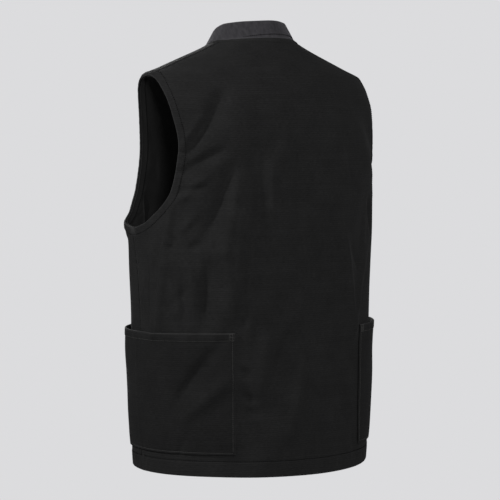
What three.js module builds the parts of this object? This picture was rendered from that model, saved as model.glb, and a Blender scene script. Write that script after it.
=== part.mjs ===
// Sleeveless canvas work vest, held open as it is when worn.
// Millimetres, +Z up. The front faces -Y and the wearer's left is +X.
// The origin is the middle of the neck base, level with the inner ends of the shoulder seams.
import * as THREE from "three";

// Girth of the worn vest at four levels: half widths, and depths to the back and the front
const NECK_HALF_WIDTH = 72;
const NECK_BACK_DEPTH = 62;
const NECK_FRONT_DEPTH = 50;
const SHOULDER_HALF_WIDTH = 207;
const SHOULDER_BACK_DEPTH = 95;
const SHOULDER_FRONT_DEPTH = 84;
const CHEST_HALF_WIDTH = 216.5;
const CHEST_BACK_DEPTH = 133;
const CHEST_FRONT_DEPTH = 144;
const HEM_HALF_WIDTH = 207;
const HEM_BACK_DEPTH = 133;
const HEM_FRONT_DEPTH = 142;

// Heights, all measured down from the neck point
const SHOULDER_DROP = 56;
const ARMHOLE_DROP = 289;
const HEM_DROP = 666;
const BACK_HEM_DIP = 12;
const HEM_DIP_TURN = 22;
const BACK_NECK_RISE = 4;
const FRONT_NECK_DROP = 78;

// Cloth
const CLOTH = 2.2;
const SEAM_GAP = 0.35;
const HEM_TURN_UP = 24;
const HEM_EXTRA = 1.3;

// Armhole reach round the body, in degrees either side of its middle line
const ARMHOLE_BACK_REACH = 36;
const ARMHOLE_FRONT_REACH = 42;
const ARMHOLE_LEAN = 12.5;
const FACING_WIDTH = 13;
const FACING_WALL = 1.2;
const FACING_GAP = 0.8;
const FACING_LIFT = 2.6;

// Patch pockets that wrap round the side seams
const POCKET_BACK_ANGLE = 35.3;
const POCKET_FRONT_ANGLE = 146;
const POCKET_MOUTH_DROP = 447;
const POCKET_HEIGHT = 185;
const POCKET_HEM = 13;
const POCKET_HEM_EXTRA = 1;
const POCKET_STAND = 8;
const POCKET_GAP = 0.55;

// Stand collar
const COLLAR_HEIGHT = 28.5;
const COLLAR_WALL = 3;
const COLLAR_TOP_SHARE = 0.78;
const COLLAR_AXIS_Y = -10;
const COLLAR_GAP = 0.5;

// Front zip
const ZIP_GAP = 6;
const ZIP_TAPE_WIDTH = 26;
const ZIP_TAPE_WALL = 1.6;
const ZIP_TEETH_WIDTH = 4.8;
const ZIP_TEETH_SINK = 0.3;
const ZIP_HEM_SETBACK = 4;

// Lining
const LINING_WALL = 1.1;
const LINING_GAP = 4;
const LINING_EDGE_GAP = 3.3;
const LINING_HEM_GAP = 0.8;
const LINING_SETBACK = 6.5;
const LINING_NECK_INSET = 9;

// Folds
const FOLD_DEPTH = 8;
const FOLD_SPREAD = 26;

// Grid steps across and down the panels. The row at the armhole's lowest point sags away from it.
const ROW_SAG = 12;
const NECK_COLUMNS = 6;
const SHOULDER_COLUMNS = 7;
const SKIRT_ROWS = 6;
const POCKET_ROWS = 7;

// The four named levels of the body, from the neck point down to the hem
const LEVELS = [
  { drop: 0, width: NECK_HALF_WIDTH, back: NECK_BACK_DEPTH, front: NECK_FRONT_DEPTH },
  { drop: SHOULDER_DROP, width: SHOULDER_HALF_WIDTH, back: SHOULDER_BACK_DEPTH, front: SHOULDER_FRONT_DEPTH },
  { drop: ARMHOLE_DROP, width: CHEST_HALF_WIDTH, back: CHEST_BACK_DEPTH, front: CHEST_FRONT_DEPTH },
  { drop: HEM_DROP, width: HEM_HALF_WIDTH, back: HEM_BACK_DEPTH, front: HEM_FRONT_DEPTH },
];

// Sections: level counts the levels above, and the lengths are shares of the way to the next level.
// The last two columns say how square the section is, 2 being an ellipse.
const SECTIONS = [
  { level: -0.08, width: -0.06, back: -0.06, front: -0.06, squareBack: 2.0, squareFront: 2.0 },
  { level: 0, width: 0, back: 0, front: 0, squareBack: 2.0, squareFront: 2.0 },
  { level: 0.18, width: 0.16, back: 0.15, front: 0.18, squareBack: 2.05, squareFront: 2.0 },
  { level: 0.5, width: 0.5, back: 0.45, front: 0.47, squareBack: 2.1, squareFront: 2.05 },
  { level: 0.75, width: 0.76, back: 0.73, front: 0.74, squareBack: 2.15, squareFront: 2.1 },
  { level: 1, width: 0, back: 0, front: 0, squareBack: 2.2, squareFront: 2.15 },
  { level: 1.1, width: 0.8, back: 0.32, front: 0.22, squareBack: 2.35, squareFront: 2.2 },
  { level: 1.23, width: 1, back: 0.61, front: 0.42, squareBack: 2.5, squareFront: 2.25 },
  { level: 1.47, width: 1, back: 0.9, front: 0.7, squareBack: 2.5, squareFront: 2.3 },
  { level: 1.75, width: 1, back: 0.98, front: 0.9, squareBack: 2.3, squareFront: 2.3 },
  { level: 2, width: 0, back: 0, front: 0, squareBack: 2.2, squareFront: 2.2 },
  { level: 2.43, width: 0.57, back: 0.5, front: 0, squareBack: 2.2, squareFront: 2.2 },
  { level: 2.84, width: 0.68, back: 0.8, front: 0.3, squareBack: 2.2, squareFront: 2.2 },
  { level: 3, width: 1, back: 1, front: 1, squareBack: 2.2, squareFront: 2.2 },
];

// Armhole outline by the turn round it: 0 is the shoulder point and 180 the lowest point.
// back and front are shares of the two reaches.
const ARMHOLE = [
  { turn: 0, back: 0, front: 0 },
  { turn: 30, back: 0.5, front: 0.62 },
  { turn: 60, back: 0.82, front: 0.9 },
  { turn: 90, back: 0.98, front: 1 },
  { turn: 120, back: 0.92, front: 0.89 },
  { turn: 150, back: 0.52, front: 0.5 },
  { turn: 180, back: 0, front: 0 },
];
const ARMHOLE_TURNS = [0, 12, 24, 36, 48, 62, 76, 90, 105, 119, 132, 144, 156, 168, 180];

// Side seam: the angle round the body at each level
const SIDE_SEAM = [
  { level: 2, angle: 102.5 },
  { level: 2.22, angle: 97.8 },
  { level: 2.5, angle: 95.8 },
  { level: 3, angle: 98 },
];

// Main folds and dents: where each one starts and ends, by angle round the body and by level.
// height is a share of FOLD_DEPTH, less than zero for a valley, and spread a share of FOLD_SPREAD.
const FOLDS = [
  { angle: 38, level: 1.18, toAngle: 55, toLevel: 1.5, height: -0.95, spread: 0.75 },
  { angle: 40, level: 1.5, toAngle: 58, toLevel: 1.63, height: -0.4, spread: 0.6 },
  { angle: 34, level: 1.6, toAngle: 47, toLevel: 2.03, height: -0.8, spread: 0.8 },
  { angle: 46, level: 2.13, toAngle: 51, toLevel: 2.42, height: -0.55, spread: 0.8 },
  { angle: 23, level: 1.45, toAngle: 25, toLevel: 2.1, height: -0.7, spread: 0.9 },
  { angle: 25, level: 2.1, toAngle: 33, toLevel: 2.4, height: -0.55, spread: 0.8 },
  { angle: 3, level: 1.5, toAngle: 3, toLevel: 2.0, height: -0.5, spread: 0.8 },
  { angle: 10, level: 2.44, toAngle: 15, toLevel: 2.62, height: -0.45, spread: 0.7 },
  { angle: 34, level: 1.68, toAngle: 39, toLevel: 2.36, height: 0.6, spread: 1.2 },
  { angle: -6, level: 1.55, toAngle: -9, toLevel: 2.0, height: 0.5, spread: 1.2 },
  { angle: 66, level: 1.82, toAngle: 78, toLevel: 2.43, height: 0.6, spread: 0.7 },
  { angle: 1, level: 2.47, toAngle: 9, toLevel: 2.85, height: 0.5, spread: 1.3 },
  { angle: -21, level: 2.0, toAngle: -30, toLevel: 2.43, height: 0.5, spread: 0.8 },
  { angle: -38, level: 1.2, toAngle: -54, toLevel: 1.5, height: -0.7, spread: 0.9 },
  { angle: -44, level: 1.75, toAngle: -36, toLevel: 2.35, height: -0.5, spread: 1.0 },
  { angle: -66, level: 1.85, toAngle: -76, toLevel: 2.4, height: 0.5, spread: 1.0 },
  { angle: 42, level: 2.47, toAngle: 65, toLevel: 2.7, height: -0.5, spread: 1.1 },
  { angle: 126, level: 1.98, toAngle: 139, toLevel: 2.35, height: -0.5, spread: 1.2 },
  { angle: 112, level: 1.93, toAngle: 130, toLevel: 2.05, height: 0.8, spread: 0.8 },
  { angle: -126, level: 1.98, toAngle: -139, toLevel: 2.35, height: -0.5, spread: 1.2 },
  { angle: 154, level: 1.6, toAngle: 160, toLevel: 2.3, height: 0.4, spread: 1.3 },
  { angle: -154, level: 1.6, toAngle: -160, toLevel: 2.3, height: 0.4, spread: 1.3 },
];

const clamp = THREE.MathUtils.clamp;
const lerp = THREE.MathUtils.lerp;
const smoothstep = THREE.MathUtils.smoothstep;
const radians = THREE.MathUtils.degToRad;
const degrees = THREE.MathUtils.radToDeg;

// Height of a level number above the neck point
function levelHeight(level) {
  const zone = clamp(Math.floor(level), 0, LEVELS.length - 2);
  return -lerp(LEVELS[zone].drop, LEVELS[zone + 1].drop, level - zone);
}

// A smooth curve through a table's rows that never overshoots them
function smoothCurve(xs, ys) {
  const last = xs.length - 1;
  const slope = [];
  for (let i = 0; i < last; i += 1) slope.push((ys[i + 1] - ys[i]) / (xs[i + 1] - xs[i]));
  const tangent = [slope[0]];
  for (let i = 1; i < last; i += 1) {
    const same = slope[i - 1] * slope[i] > 0;
    tangent.push(same ? (2 * slope[i - 1] * slope[i]) / (slope[i - 1] + slope[i]) : 0);
  }
  tangent.push(slope[last - 1]);
  return (x) => {
    let i = 0;
    while (i < last - 1 && x > xs[i + 1]) i += 1;
    const step = xs[i + 1] - xs[i];
    const t = clamp((x - xs[i]) / step, 0, 1);
    const ends = ys[i] * (1 + 2 * t) * (1 - t) ** 2 + ys[i + 1] * (3 - 2 * t) * t * t;
    return ends + step * (tangent[i] * t * (1 - t) ** 2 + tangent[i + 1] * (t - 1) * t * t);
  };
}

function sectionCurve(column) {
  const rows = SECTIONS.map((row) => {
    const zone = clamp(Math.floor(row.level), 0, LEVELS.length - 2);
    const share = row.level === LEVELS.length - 1 ? 1 : row[column];
    return lerp(LEVELS[zone][column], LEVELS[zone + 1][column], share);
  });
  return smoothCurve(SECTIONS.map((row) => -levelHeight(row.level)), rows);
}

const halfWidth = sectionCurve("width");
const backDepth = sectionCurve("back");
const frontDepth = sectionCurve("front");
const sectionDrops = SECTIONS.map((row) => -levelHeight(row.level));
const squareBack = smoothCurve(sectionDrops, SECTIONS.map((row) => row.squareBack));
const squareFront = smoothCurve(sectionDrops, SECTIONS.map((row) => row.squareFront));
const armholeBack = smoothCurve(ARMHOLE.map((row) => row.turn), ARMHOLE.map((row) => row.back));
const armholeFront = smoothCurve(ARMHOLE.map((row) => row.turn), ARMHOLE.map((row) => row.front));
const seamAngle = smoothCurve(
  SIDE_SEAM.map((row) => -levelHeight(row.level)),
  SIDE_SEAM.map((row) => row.angle),
);

// The body the cloth hangs on. angle: 0 at the centre back, 90 at the wearer's left, 180 at the front.
function form(angle, z) {
  const sine = Math.sin(radians(angle));
  const cosine = Math.cos(radians(angle));
  const square = cosine >= 0 ? squareBack(-z) : squareFront(-z);
  const depth = cosine >= 0 ? backDepth(-z) : frontDepth(-z);
  const reach = (Math.abs(sine) ** square + Math.abs(cosine) ** square) ** (-1 / square);
  const lowest = Math.max(Math.cos(radians(angle + HEM_DIP_TURN)), 0);
  const dip = BACK_HEM_DIP * lowest ** 2 * (z / HEM_DROP) ** 4;
  return new THREE.Vector3(halfWidth(-z) * sine * reach, depth * cosine * reach, z - dip);
}

// Outward direction of the form
function outward(angle, z) {
  const around = form(angle + 0.4, z).sub(form(angle - 0.4, z));
  const up = form(angle, z + 0.8).sub(form(angle, z - 0.8));
  return up.cross(around).normalize();
}

// How far the folds lift or sink the cloth
const FOLD_GIRTH = (CHEST_HALF_WIDTH + CHEST_BACK_DEPTH) / 2;
function foldHeight(angle, z) {
  let height = 0;
  for (const fold of FOLDS) {
    const startZ = levelHeight(fold.level);
    const runX = radians(fold.toAngle - fold.angle) * FOLD_GIRTH;
    const runZ = levelHeight(fold.toLevel) - startZ;
    const x = radians(angle - fold.angle) * FOLD_GIRTH;
    const along = (x * runX + (z - startZ) * runZ) / (runX * runX + runZ * runZ);
    const near = clamp(along, 0, 1);
    const away = Math.hypot(x - near * runX, z - startZ - near * runZ);
    const middle = 0.55 + 0.45 * Math.sin(Math.PI * near);
    height += FOLD_DEPTH * fold.height * middle * Math.exp(-((away / (FOLD_SPREAD * fold.spread)) ** 2));
  }
  return height;
}

// A point of the cloth, lifted off the body's outer face by an offset
function cloth(angle, z, offset) {
  return form(angle, z).addScaledVector(outward(angle, z), foldHeight(angle, z) + offset);
}

// Angle from the centre line at which a section reaches a given half width
function angleAtWidth(x, z, square) {
  const share = clamp(x / halfWidth(-z), 0, 1);
  return degrees(Math.atan2(share, (1 - share ** square) ** (1 / square)));
}

// Height of the shoulder line at a distance from the centre
function shoulderHeight(x) {
  let high = 0;
  let low = -SHOULDER_DROP;
  for (let i = 0; i < 40; i += 1) {
    const middle = (high + low) / 2;
    if (halfWidth(-middle) < x) high = middle;
    else low = middle;
  }
  return (high + low) / 2;
}

// Height of a panel's top edge: the neckline, then the shoulder seam
function topHeight(x, isBack, inset) {
  const neck = NECK_HALF_WIDTH + inset;
  if (x >= neck) return shoulderHeight(x);
  const bow = 1 - (x / neck) ** 2;
  const side = inset > 0 ? shoulderHeight(neck) : 0;
  return isBack ? side + BACK_NECK_RISE * bow : side - (FRONT_NECK_DROP + inset / 2) * bow ** 0.75;
}

// Armhole edge at a turn round it
function armholeEdge(turn, isBack) {
  const down = (1 - Math.cos(radians(turn))) / 2;
  const middle = 90 + ARMHOLE_LEAN * down;
  const reach = isBack ? -ARMHOLE_BACK_REACH * armholeBack(turn) : ARMHOLE_FRONT_REACH * armholeFront(turn);
  return { angle: middle + reach, z: -lerp(SHOULDER_DROP, ARMHOLE_DROP, down) };
}

// The armhole edge moved away from the opening, measured on the cloth
function armholeEdgeOut(turn, isBack, width) {
  const step = 2;
  const turnSign = isBack ? 1 : -1;
  const before = armholeEdge(Math.max(turn - step, 0), turn - step < 0 ? !isBack : isBack);
  const after = armholeEdge(Math.min(turn + step, 180), turn + step > 180 ? !isBack : isBack);
  const spot = armholeEdge(turn, isBack);
  const tangent = form(after.angle, after.z).sub(form(before.angle, before.z)).multiplyScalar(turnSign);
  const steps = 4;
  for (let i = 0; i < steps; i += 1) {
    const away = outward(spot.angle, spot.z).cross(tangent).normalize().multiplyScalar(width / steps);
    const around = form(spot.angle + 0.5, spot.z).sub(form(spot.angle - 0.5, spot.z));
    const up = form(spot.angle, spot.z + 0.5).sub(form(spot.angle, spot.z - 0.5));
    spot.angle += away.dot(around) / around.lengthSq();
    spot.z += away.dot(up) / up.lengthSq();
  }
  return spot;
}

// A closed solid between an outer and an inner grid of points, with its edges joined.
// A ring's last row joins its first, and each four-sided cell is split along its shorter diagonal.
function solidBetween(outer, inner, ring = false) {
  const rows = outer.length;
  const columns = outer[0].length;
  const positions = [];
  for (const grid of [outer, inner]) {
    for (const row of grid) for (const spot of row) positions.push(spot.x, spot.y, spot.z);
  }
  const faces = [];
  const side = rows * columns;
  const point = (n) => new THREE.Vector3().fromArray(positions, n * 3);
  const quad = (a, b, c, d) => {
    if (point(a).distanceTo(point(c)) <= point(b).distanceTo(point(d))) faces.push(a, b, c, a, c, d);
    else faces.push(a, b, d, b, c, d);
  };
  const lastRow = ring ? rows : rows - 1;
  for (let i = 0; i < lastRow; i += 1) {
    const here = i * columns;
    const next = ((i + 1) % rows) * columns;
    for (let j = 0; j < columns - 1; j += 1) {
      quad(here + j, next + j, next + j + 1, here + j + 1);
      quad(side + here + j, side + here + j + 1, side + next + j + 1, side + next + j);
    }
    quad(here, side + here, side + next, next);
    const end = columns - 1;
    quad(here + end, next + end, side + next + end, side + here + end);
  }
  if (!ring) {
    const end = (rows - 1) * columns;
    for (let j = 0; j < columns - 1; j += 1) {
      quad(j, j + 1, side + j + 1, side + j);
      quad(end + j, side + end + j, side + end + j + 1, end + j + 1);
    }
  }
  const volume = signedVolume(positions, faces);
  if (volume < 0) faces.reverse();
  const geometry = new THREE.BufferGeometry();
  geometry.setAttribute("position", new THREE.Float32BufferAttribute(positions, 3));
  geometry.setIndex(faces);
  geometry.computeVertexNormals();
  return geometry;
}

function signedVolume(positions, faces) {
  const corner = (n) => new THREE.Vector3().fromArray(positions, faces[n] * 3);
  let volume = 0;
  for (let n = 0; n < faces.length; n += 3) {
    volume += corner(n).dot(corner(n + 1).cross(corner(n + 2))) / 6;
  }
  return volume;
}

const canvas = new THREE.MeshStandardMaterial({ color: 0x1f1f21, roughness: 0.92, metalness: 0 });
const ribbedCloth = new THREE.MeshStandardMaterial({ color: 0x343436, roughness: 0.95, metalness: 0 });
const liningCloth = new THREE.MeshStandardMaterial({ color: 0x161618, roughness: 0.8, metalness: 0 });
const zipMetal = new THREE.MeshStandardMaterial({ color: 0x2a2a2c, roughness: 0.5, metalness: 0.6 });

const vest = new THREE.Group();

function addPiece(name, geometry, material) {
  const mesh = new THREE.Mesh(geometry, material);
  mesh.name = name;
  vest.add(mesh);
}

// Rows of a panel: round the armhole by turn, then down to the hem by height
function rowsBetween(from, to, count) {
  return Array.from({ length: count }, (_, i) => ({ z: lerp(from, to, (i + 1) / count) }));
}

const POCKET_TOP = -POCKET_MOUTH_DROP;
const POCKET_HEM_LINE = POCKET_TOP - POCKET_HEM;
const POCKET_BOTTOM = POCKET_TOP - POCKET_HEIGHT;
const HEM_LINE = HEM_TURN_UP - HEM_DROP;
const HEM_STEP = 1.5;

const PANEL_ROWS = [
  ...ARMHOLE_TURNS.map((turn) => ({ turn })),
  ...rowsBetween(-ARMHOLE_DROP - ROW_SAG, POCKET_TOP, SKIRT_ROWS),
  { z: POCKET_HEM_LINE },
  ...rowsBetween(POCKET_HEM_LINE, POCKET_BOTTOM, POCKET_ROWS),
  { z: HEM_LINE },
  { z: HEM_LINE - HEM_STEP },
  { z: -HEM_DROP },
];

// Columns of a panel from the centre line, 0, to the armhole and side seam, 1.
// At the top one column meets the neck point, and below one follows the pocket's edge.
function panelColumns(neckShare, pocketShare, neckCount, shoulderCount) {
  const columns = [];
  for (let i = 0; i <= neckCount + shoulderCount; i += 1) {
    const inner = i / neckCount;
    const outer = (i - neckCount) / shoulderCount;
    const top = i < neckCount ? neckShare * Math.sin(inner * Math.PI / 2) : lerp(neckShare, 1, outer);
    const low = i < neckCount ? pocketShare * inner : lerp(pocketShare, 1, outer);
    columns.push({ top, low });
  }
  return columns;
}

// An outline is the armhole's and the neckline's distance from the cloth's true edge,
// and how far the panel starts from the centre line
function placeOnPanel(outline, isBack, row, column) {
  const edgeOf = (turn) => (outline.width > 0
    ? armholeEdgeOut(turn, isBack, outline.width) : armholeEdge(turn, isBack));
  const tip = edgeOf(0);
  const low = edgeOf(180);
  const middleZ = (tip.z + low.z) / 2;
  const edge = row.turn === undefined ? { angle: seamAngle(-row.z), z: row.z } : edgeOf(row.turn);
  const square = isBack ? squareBack : squareFront;
  const fromCentre = (angle) => (isBack ? angle : 180 - angle);
  const tipX = form(tip.angle, tip.z).x;
  const edgeX = form(edge.angle, edge.z).x;
  const fade = clamp((edge.z - middleZ) / (tip.z - middleZ), 0, 1);
  const blend = smoothstep(middleZ - edge.z, 0, middleZ - low.z);
  const share = lerp(column.top, column.low, blend);
  const topZ = topHeight(lerp(outline.centre, tipX, column.top), isBack, outline.inset);
  const even = row.turn > 90 ? lerp(middleZ, low.z - ROW_SAG, row.turn / 90 - 1) : edge.z;
  const z = lerp(even, edge.z, share ** 2) + (topZ - tip.z) * fade;
  const straight = angleAtWidth(lerp(outline.centre, edgeX, share), z, square(-z));
  const start = angleAtWidth(outline.centre, z, square(-z));
  const round = lerp(start, fromCentre(edge.angle), share);
  return { angle: fromCentre(lerp(straight, round, blend)), z, share: column.top };
}

const PANEL_OUTLINE_BACK = { width: 0, inset: 0, centre: 0 };
const PANEL_OUTLINE_FRONT = { width: 0, inset: 0, centre: ZIP_GAP / 2 };
const MOUTH_SEAM = seamAngle(POCKET_MOUTH_DROP);
const BACK_COLUMNS = panelColumns(
  NECK_HALF_WIDTH / SHOULDER_HALF_WIDTH,
  POCKET_BACK_ANGLE / MOUTH_SEAM,
  NECK_COLUMNS,
  SHOULDER_COLUMNS,
);
const FRONT_COLUMNS = panelColumns(
  (NECK_HALF_WIDTH - ZIP_GAP / 2) / (SHOULDER_HALF_WIDTH - ZIP_GAP / 2),
  (180 - POCKET_FRONT_ANGLE) / (180 - MOUTH_SEAM),
  NECK_COLUMNS,
  SHOULDER_COLUMNS,
);

// A layer of a panel: side 1 is the wearer's left, -1 the right, and shift opens the seam's gap
function layer(places, side, offsetAt, shift) {
  return places.map((row) => row.map((place) => {
    const point = cloth(side * place.angle, place.z, offsetAt(place));
    point.y += shift;
    return point;
  }));
}

function placesOf(outline, isBack, rows, columns) {
  return rows.map((row) => columns.map((column) => placeOnPanel(outline, isBack, row, column)));
}

// Both halves of a back piece in one grid, right to left
function joinHalves(left, right) {
  return left.map((row, i) => [...right[i].slice(1).reverse(), ...row]);
}

const panelInside = (place) => -CLOTH - (place.z < HEM_LINE - HEM_STEP / 2 ? HEM_EXTRA : 0);
const backShift = SEAM_GAP / 2;

const backPlaces = placesOf(PANEL_OUTLINE_BACK, true, PANEL_ROWS, BACK_COLUMNS);
addPiece("back_panel", solidBetween(
  joinHalves(layer(backPlaces, 1, () => 0, backShift), layer(backPlaces, -1, () => 0, backShift)),
  joinHalves(layer(backPlaces, 1, panelInside, backShift), layer(backPlaces, -1, panelInside, backShift)),
), canvas);

const frontPlaces = placesOf(PANEL_OUTLINE_FRONT, false, PANEL_ROWS, FRONT_COLUMNS);
const SIDES = [{ name: "left", side: 1 }, { name: "right", side: -1 }];
for (const { name, side } of SIDES) {
  addPiece(`front_${name}_panel`, solidBetween(
    layer(frontPlaces, side, () => 0, -backShift),
    layer(frontPlaces, side, panelInside, -backShift),
  ), canvas);
}

// Armhole facings: a strip turned inside, all round each armhole
const facingStops = [
  ...ARMHOLE_TURNS.map((turn) => ({ turn, isBack: true })),
  ...ARMHOLE_TURNS.slice(1, -1).reverse().map((turn) => ({ turn, isBack: false })),
];
const facingPlaces = facingStops.map(({ turn, isBack }) => [
  { ...armholeEdge(turn, isBack), lift: 0 },
  { ...armholeEdgeOut(turn, isBack, FACING_WIDTH), lift: FACING_LIFT },
]);
const facingTop = (place) => -CLOTH - FACING_GAP - place.lift;
const facingUnder = (place) => facingTop(place) - FACING_WALL;
for (const { name, side } of SIDES) {
  addPiece(`armhole_facing_${name}`, solidBetween(
    layer(facingPlaces, side, facingTop, 0),
    layer(facingPlaces, side, facingUnder, 0),
    true,
  ), canvas);
}

// Patch pockets: flat on the panels at the sides and bottom, and standing open at the mouth
const backPocketColumns = BACK_COLUMNS.slice(NECK_COLUMNS);
const frontPocketColumns = FRONT_COLUMNS.slice(NECK_COLUMNS, -1).reverse();
const pocketRows = PANEL_ROWS.filter((row) => row.z <= POCKET_TOP && row.z >= POCKET_BOTTOM);
pocketRows.splice(2, 0, { z: POCKET_HEM_LINE - HEM_STEP });
const pocketPlaces = pocketRows.map((row) => [
  ...backPocketColumns.map((column) => placeOnPanel(PANEL_OUTLINE_BACK, true, row, column)),
  ...frontPocketColumns.map((column) => placeOnPanel(PANEL_OUTLINE_FRONT, false, row, column)),
]);
const pocketGap = (place) => {
  const across = clamp((place.angle - POCKET_BACK_ANGLE) / (POCKET_FRONT_ANGLE - POCKET_BACK_ANGLE), 0, 1);
  const up = (place.z - POCKET_BOTTOM) / POCKET_HEIGHT;
  return POCKET_GAP + POCKET_STAND * Math.sin(Math.PI * across) ** 0.8 * Math.sin(up * Math.PI / 2);
};
const pocketOutside = (place) => {
  const isHem = place.z > POCKET_HEM_LINE - HEM_STEP / 2;
  return pocketGap(place) + CLOTH + (isHem ? POCKET_HEM_EXTRA : 0);
};
for (const { name, side } of SIDES) {
  addPiece(`pocket_${name}`, solidBetween(
    layer(pocketPlaces, side, pocketOutside, 0),
    layer(pocketPlaces, side, pocketGap, 0),
  ), canvas);
}

// Stand collar: it rises from the neckline and leans in towards the neck.
// turn: 0 at the centre back, 180 at the centre front.
function collarPoint(turn, up) {
  const x = NECK_HALF_WIDTH * Math.sin(radians(turn));
  const isBack = Math.abs(turn) <= 90;
  const z = topHeight(Math.abs(x), isBack, 0);
  const square = isBack ? squareBack(-z) : squareFront(-z);
  const angle = angleAtWidth(Math.abs(x), z, square);
  const base = cloth(Math.sign(x) * (isBack ? angle : 180 - angle), z, 0);
  const share = lerp(1 - COLLAR_GAP / NECK_HALF_WIDTH, COLLAR_TOP_SHARE, up);
  const y = COLLAR_AXIS_Y + (base.y - COLLAR_AXIS_Y) * share;
  return new THREE.Vector3(base.x * share, y, base.z + COLLAR_GAP + COLLAR_HEIGHT * up);
}

function collarOutward(turn) {
  const around = collarPoint(turn + 3, 0.5).sub(collarPoint(turn - 3, 0.5));
  const up = collarPoint(turn, 1).sub(collarPoint(turn, 0));
  return up.cross(around).normalize();
}

const turnAt = (x) => degrees(Math.asin(x / NECK_HALF_WIDTH));
const collarFront = FRONT_COLUMNS.slice(0, NECK_COLUMNS).map(
  (column) => 180 - turnAt(lerp(ZIP_GAP / 2, SHOULDER_HALF_WIDTH, column.top)),
);
const collarBack = BACK_COLUMNS.slice(0, NECK_COLUMNS + 1).map(
  (column) => turnAt(Math.min(SHOULDER_HALF_WIDTH * column.top, NECK_HALF_WIDTH)),
);
const collarHalf = [...collarBack, ...collarFront.reverse()];
const collarTurns = [...collarHalf.slice(1).reverse().map((turn) => -turn), ...collarHalf];
const COLLAR_UPS = [0, 0.35, 0.7, 1];
const collarLayer = (offset) => COLLAR_UPS.map((up) => collarTurns.map(
  (turn) => collarPoint(turn, up).addScaledVector(collarOutward(turn), offset),
));
addPiece("collar_stand", solidBetween(collarLayer(0), collarLayer(-COLLAR_WALL)), ribbedCloth);

// Lining: thin cloth inside the panels, from inside the facings down to the hem's turn-up
const LINING_TURNS = [0, 24, 48, 76, 106, 135, 180];
const LINING_EDGE = FACING_WIDTH + LINING_SETBACK;
const LINING_FLOOR = HEM_LINE + HEM_STEP;
const liningStart = armholeEdgeOut(180, true, LINING_EDGE).z - ROW_SAG;
const liningRows = [
  ...LINING_TURNS.map((turn) => ({ turn })),
  ...rowsBetween(liningStart, LINING_FLOOR, SKIRT_ROWS),
];
const liningNeck = NECK_HALF_WIDTH + LINING_NECK_INSET;
const liningColumns = panelColumns(liningNeck / SHOULDER_HALF_WIDTH, 0.4, 3, 4);
const LINING_OUTLINE_BACK = { width: LINING_EDGE, inset: LINING_NECK_INSET, centre: 0 };
const LINING_OUTLINE_FRONT = {
  width: LINING_EDGE,
  inset: LINING_NECK_INSET,
  centre: ZIP_TAPE_WIDTH / 2 + SEAM_GAP,
};
const liningTop = (place) => {
  const loose = lerp(LINING_GAP, LINING_EDGE_GAP, place.share ** 6);
  return -CLOTH - (place.z > LINING_FLOOR + HEM_STEP ? loose : LINING_HEM_GAP);
};
const liningBottom = (place) => liningTop(place) - LINING_WALL;
const liningBackPlaces = placesOf(LINING_OUTLINE_BACK, true, liningRows, liningColumns);
addPiece("lining_back", solidBetween(
  joinHalves(
    layer(liningBackPlaces, 1, liningTop, backShift),
    layer(liningBackPlaces, -1, liningTop, backShift),
  ),
  joinHalves(
    layer(liningBackPlaces, 1, liningBottom, backShift),
    layer(liningBackPlaces, -1, liningBottom, backShift),
  ),
), liningCloth);
const liningFrontPlaces = placesOf(LINING_OUTLINE_FRONT, false, liningRows, liningColumns);
for (const { name, side } of SIDES) {
  addPiece(`lining_front_${name}`, solidBetween(
    layer(liningFrontPlaces, side, liningTop, -backShift),
    layer(liningFrontPlaces, side, liningBottom, -backShift),
  ), liningCloth);
}

// Front zip: a tape behind the fronts and the collar's ends, with the closed teeth between them
const zipRows = [];
const ZIP_XS = [-ZIP_TAPE_WIDTH / 2, -ZIP_TEETH_WIDTH / 2, ZIP_TEETH_WIDTH / 2, ZIP_TAPE_WIDTH / 2];
const tapeOffset = -CLOTH - SEAM_GAP;
const zipHeights = PANEL_ROWS.slice(2, -1).map(
  (row) => placeOnPanel(PANEL_OUTLINE_FRONT, false, row, FRONT_COLUMNS[0]).z,
);
zipHeights.push(ZIP_HEM_SETBACK - HEM_DROP);
for (const z of zipHeights) {
  const deeper = z <= HEM_LINE ? HEM_EXTRA : 0;
  zipRows.push((x, offset) => {
    const angle = 180 - angleAtWidth(Math.abs(x), z, squareFront(-z));
    const isTeeth = offset > tapeOffset;
    return cloth(Math.sign(x) * angle, z, isTeeth ? offset : offset - deeper);
  });
}
for (const up of COLLAR_UPS.slice(1)) {
  zipRows.unshift((x, offset) => {
    const turn = Math.sign(x) * (180 - turnAt(Math.abs(x)));
    return collarPoint(turn, up).addScaledVector(collarOutward(turn), offset + CLOTH - COLLAR_WALL);
  });
}
const zipFace = zipRows.map((at) => [
  at(ZIP_XS[0], tapeOffset),
  at(ZIP_XS[1], tapeOffset),
  at(ZIP_XS[1], -ZIP_TEETH_SINK),
  at(ZIP_XS[2], -ZIP_TEETH_SINK),
  at(ZIP_XS[2], tapeOffset),
  at(ZIP_XS[3], tapeOffset),
]);
const zipBack = zipRows.map((at) => ZIP_XS.flatMap((x, i) => {
  const point = at(x, tapeOffset - ZIP_TAPE_WALL);
  return i === 1 || i === 2 ? [point, point.clone()] : [point];
}));
addPiece("front_zip", solidBetween(zipFace, zipBack), zipMetal);

export default vest;
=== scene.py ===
"""Looks for the canvas work vest, in metres: +Z up, front to -Y, the wearer's left at +X."""

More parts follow.
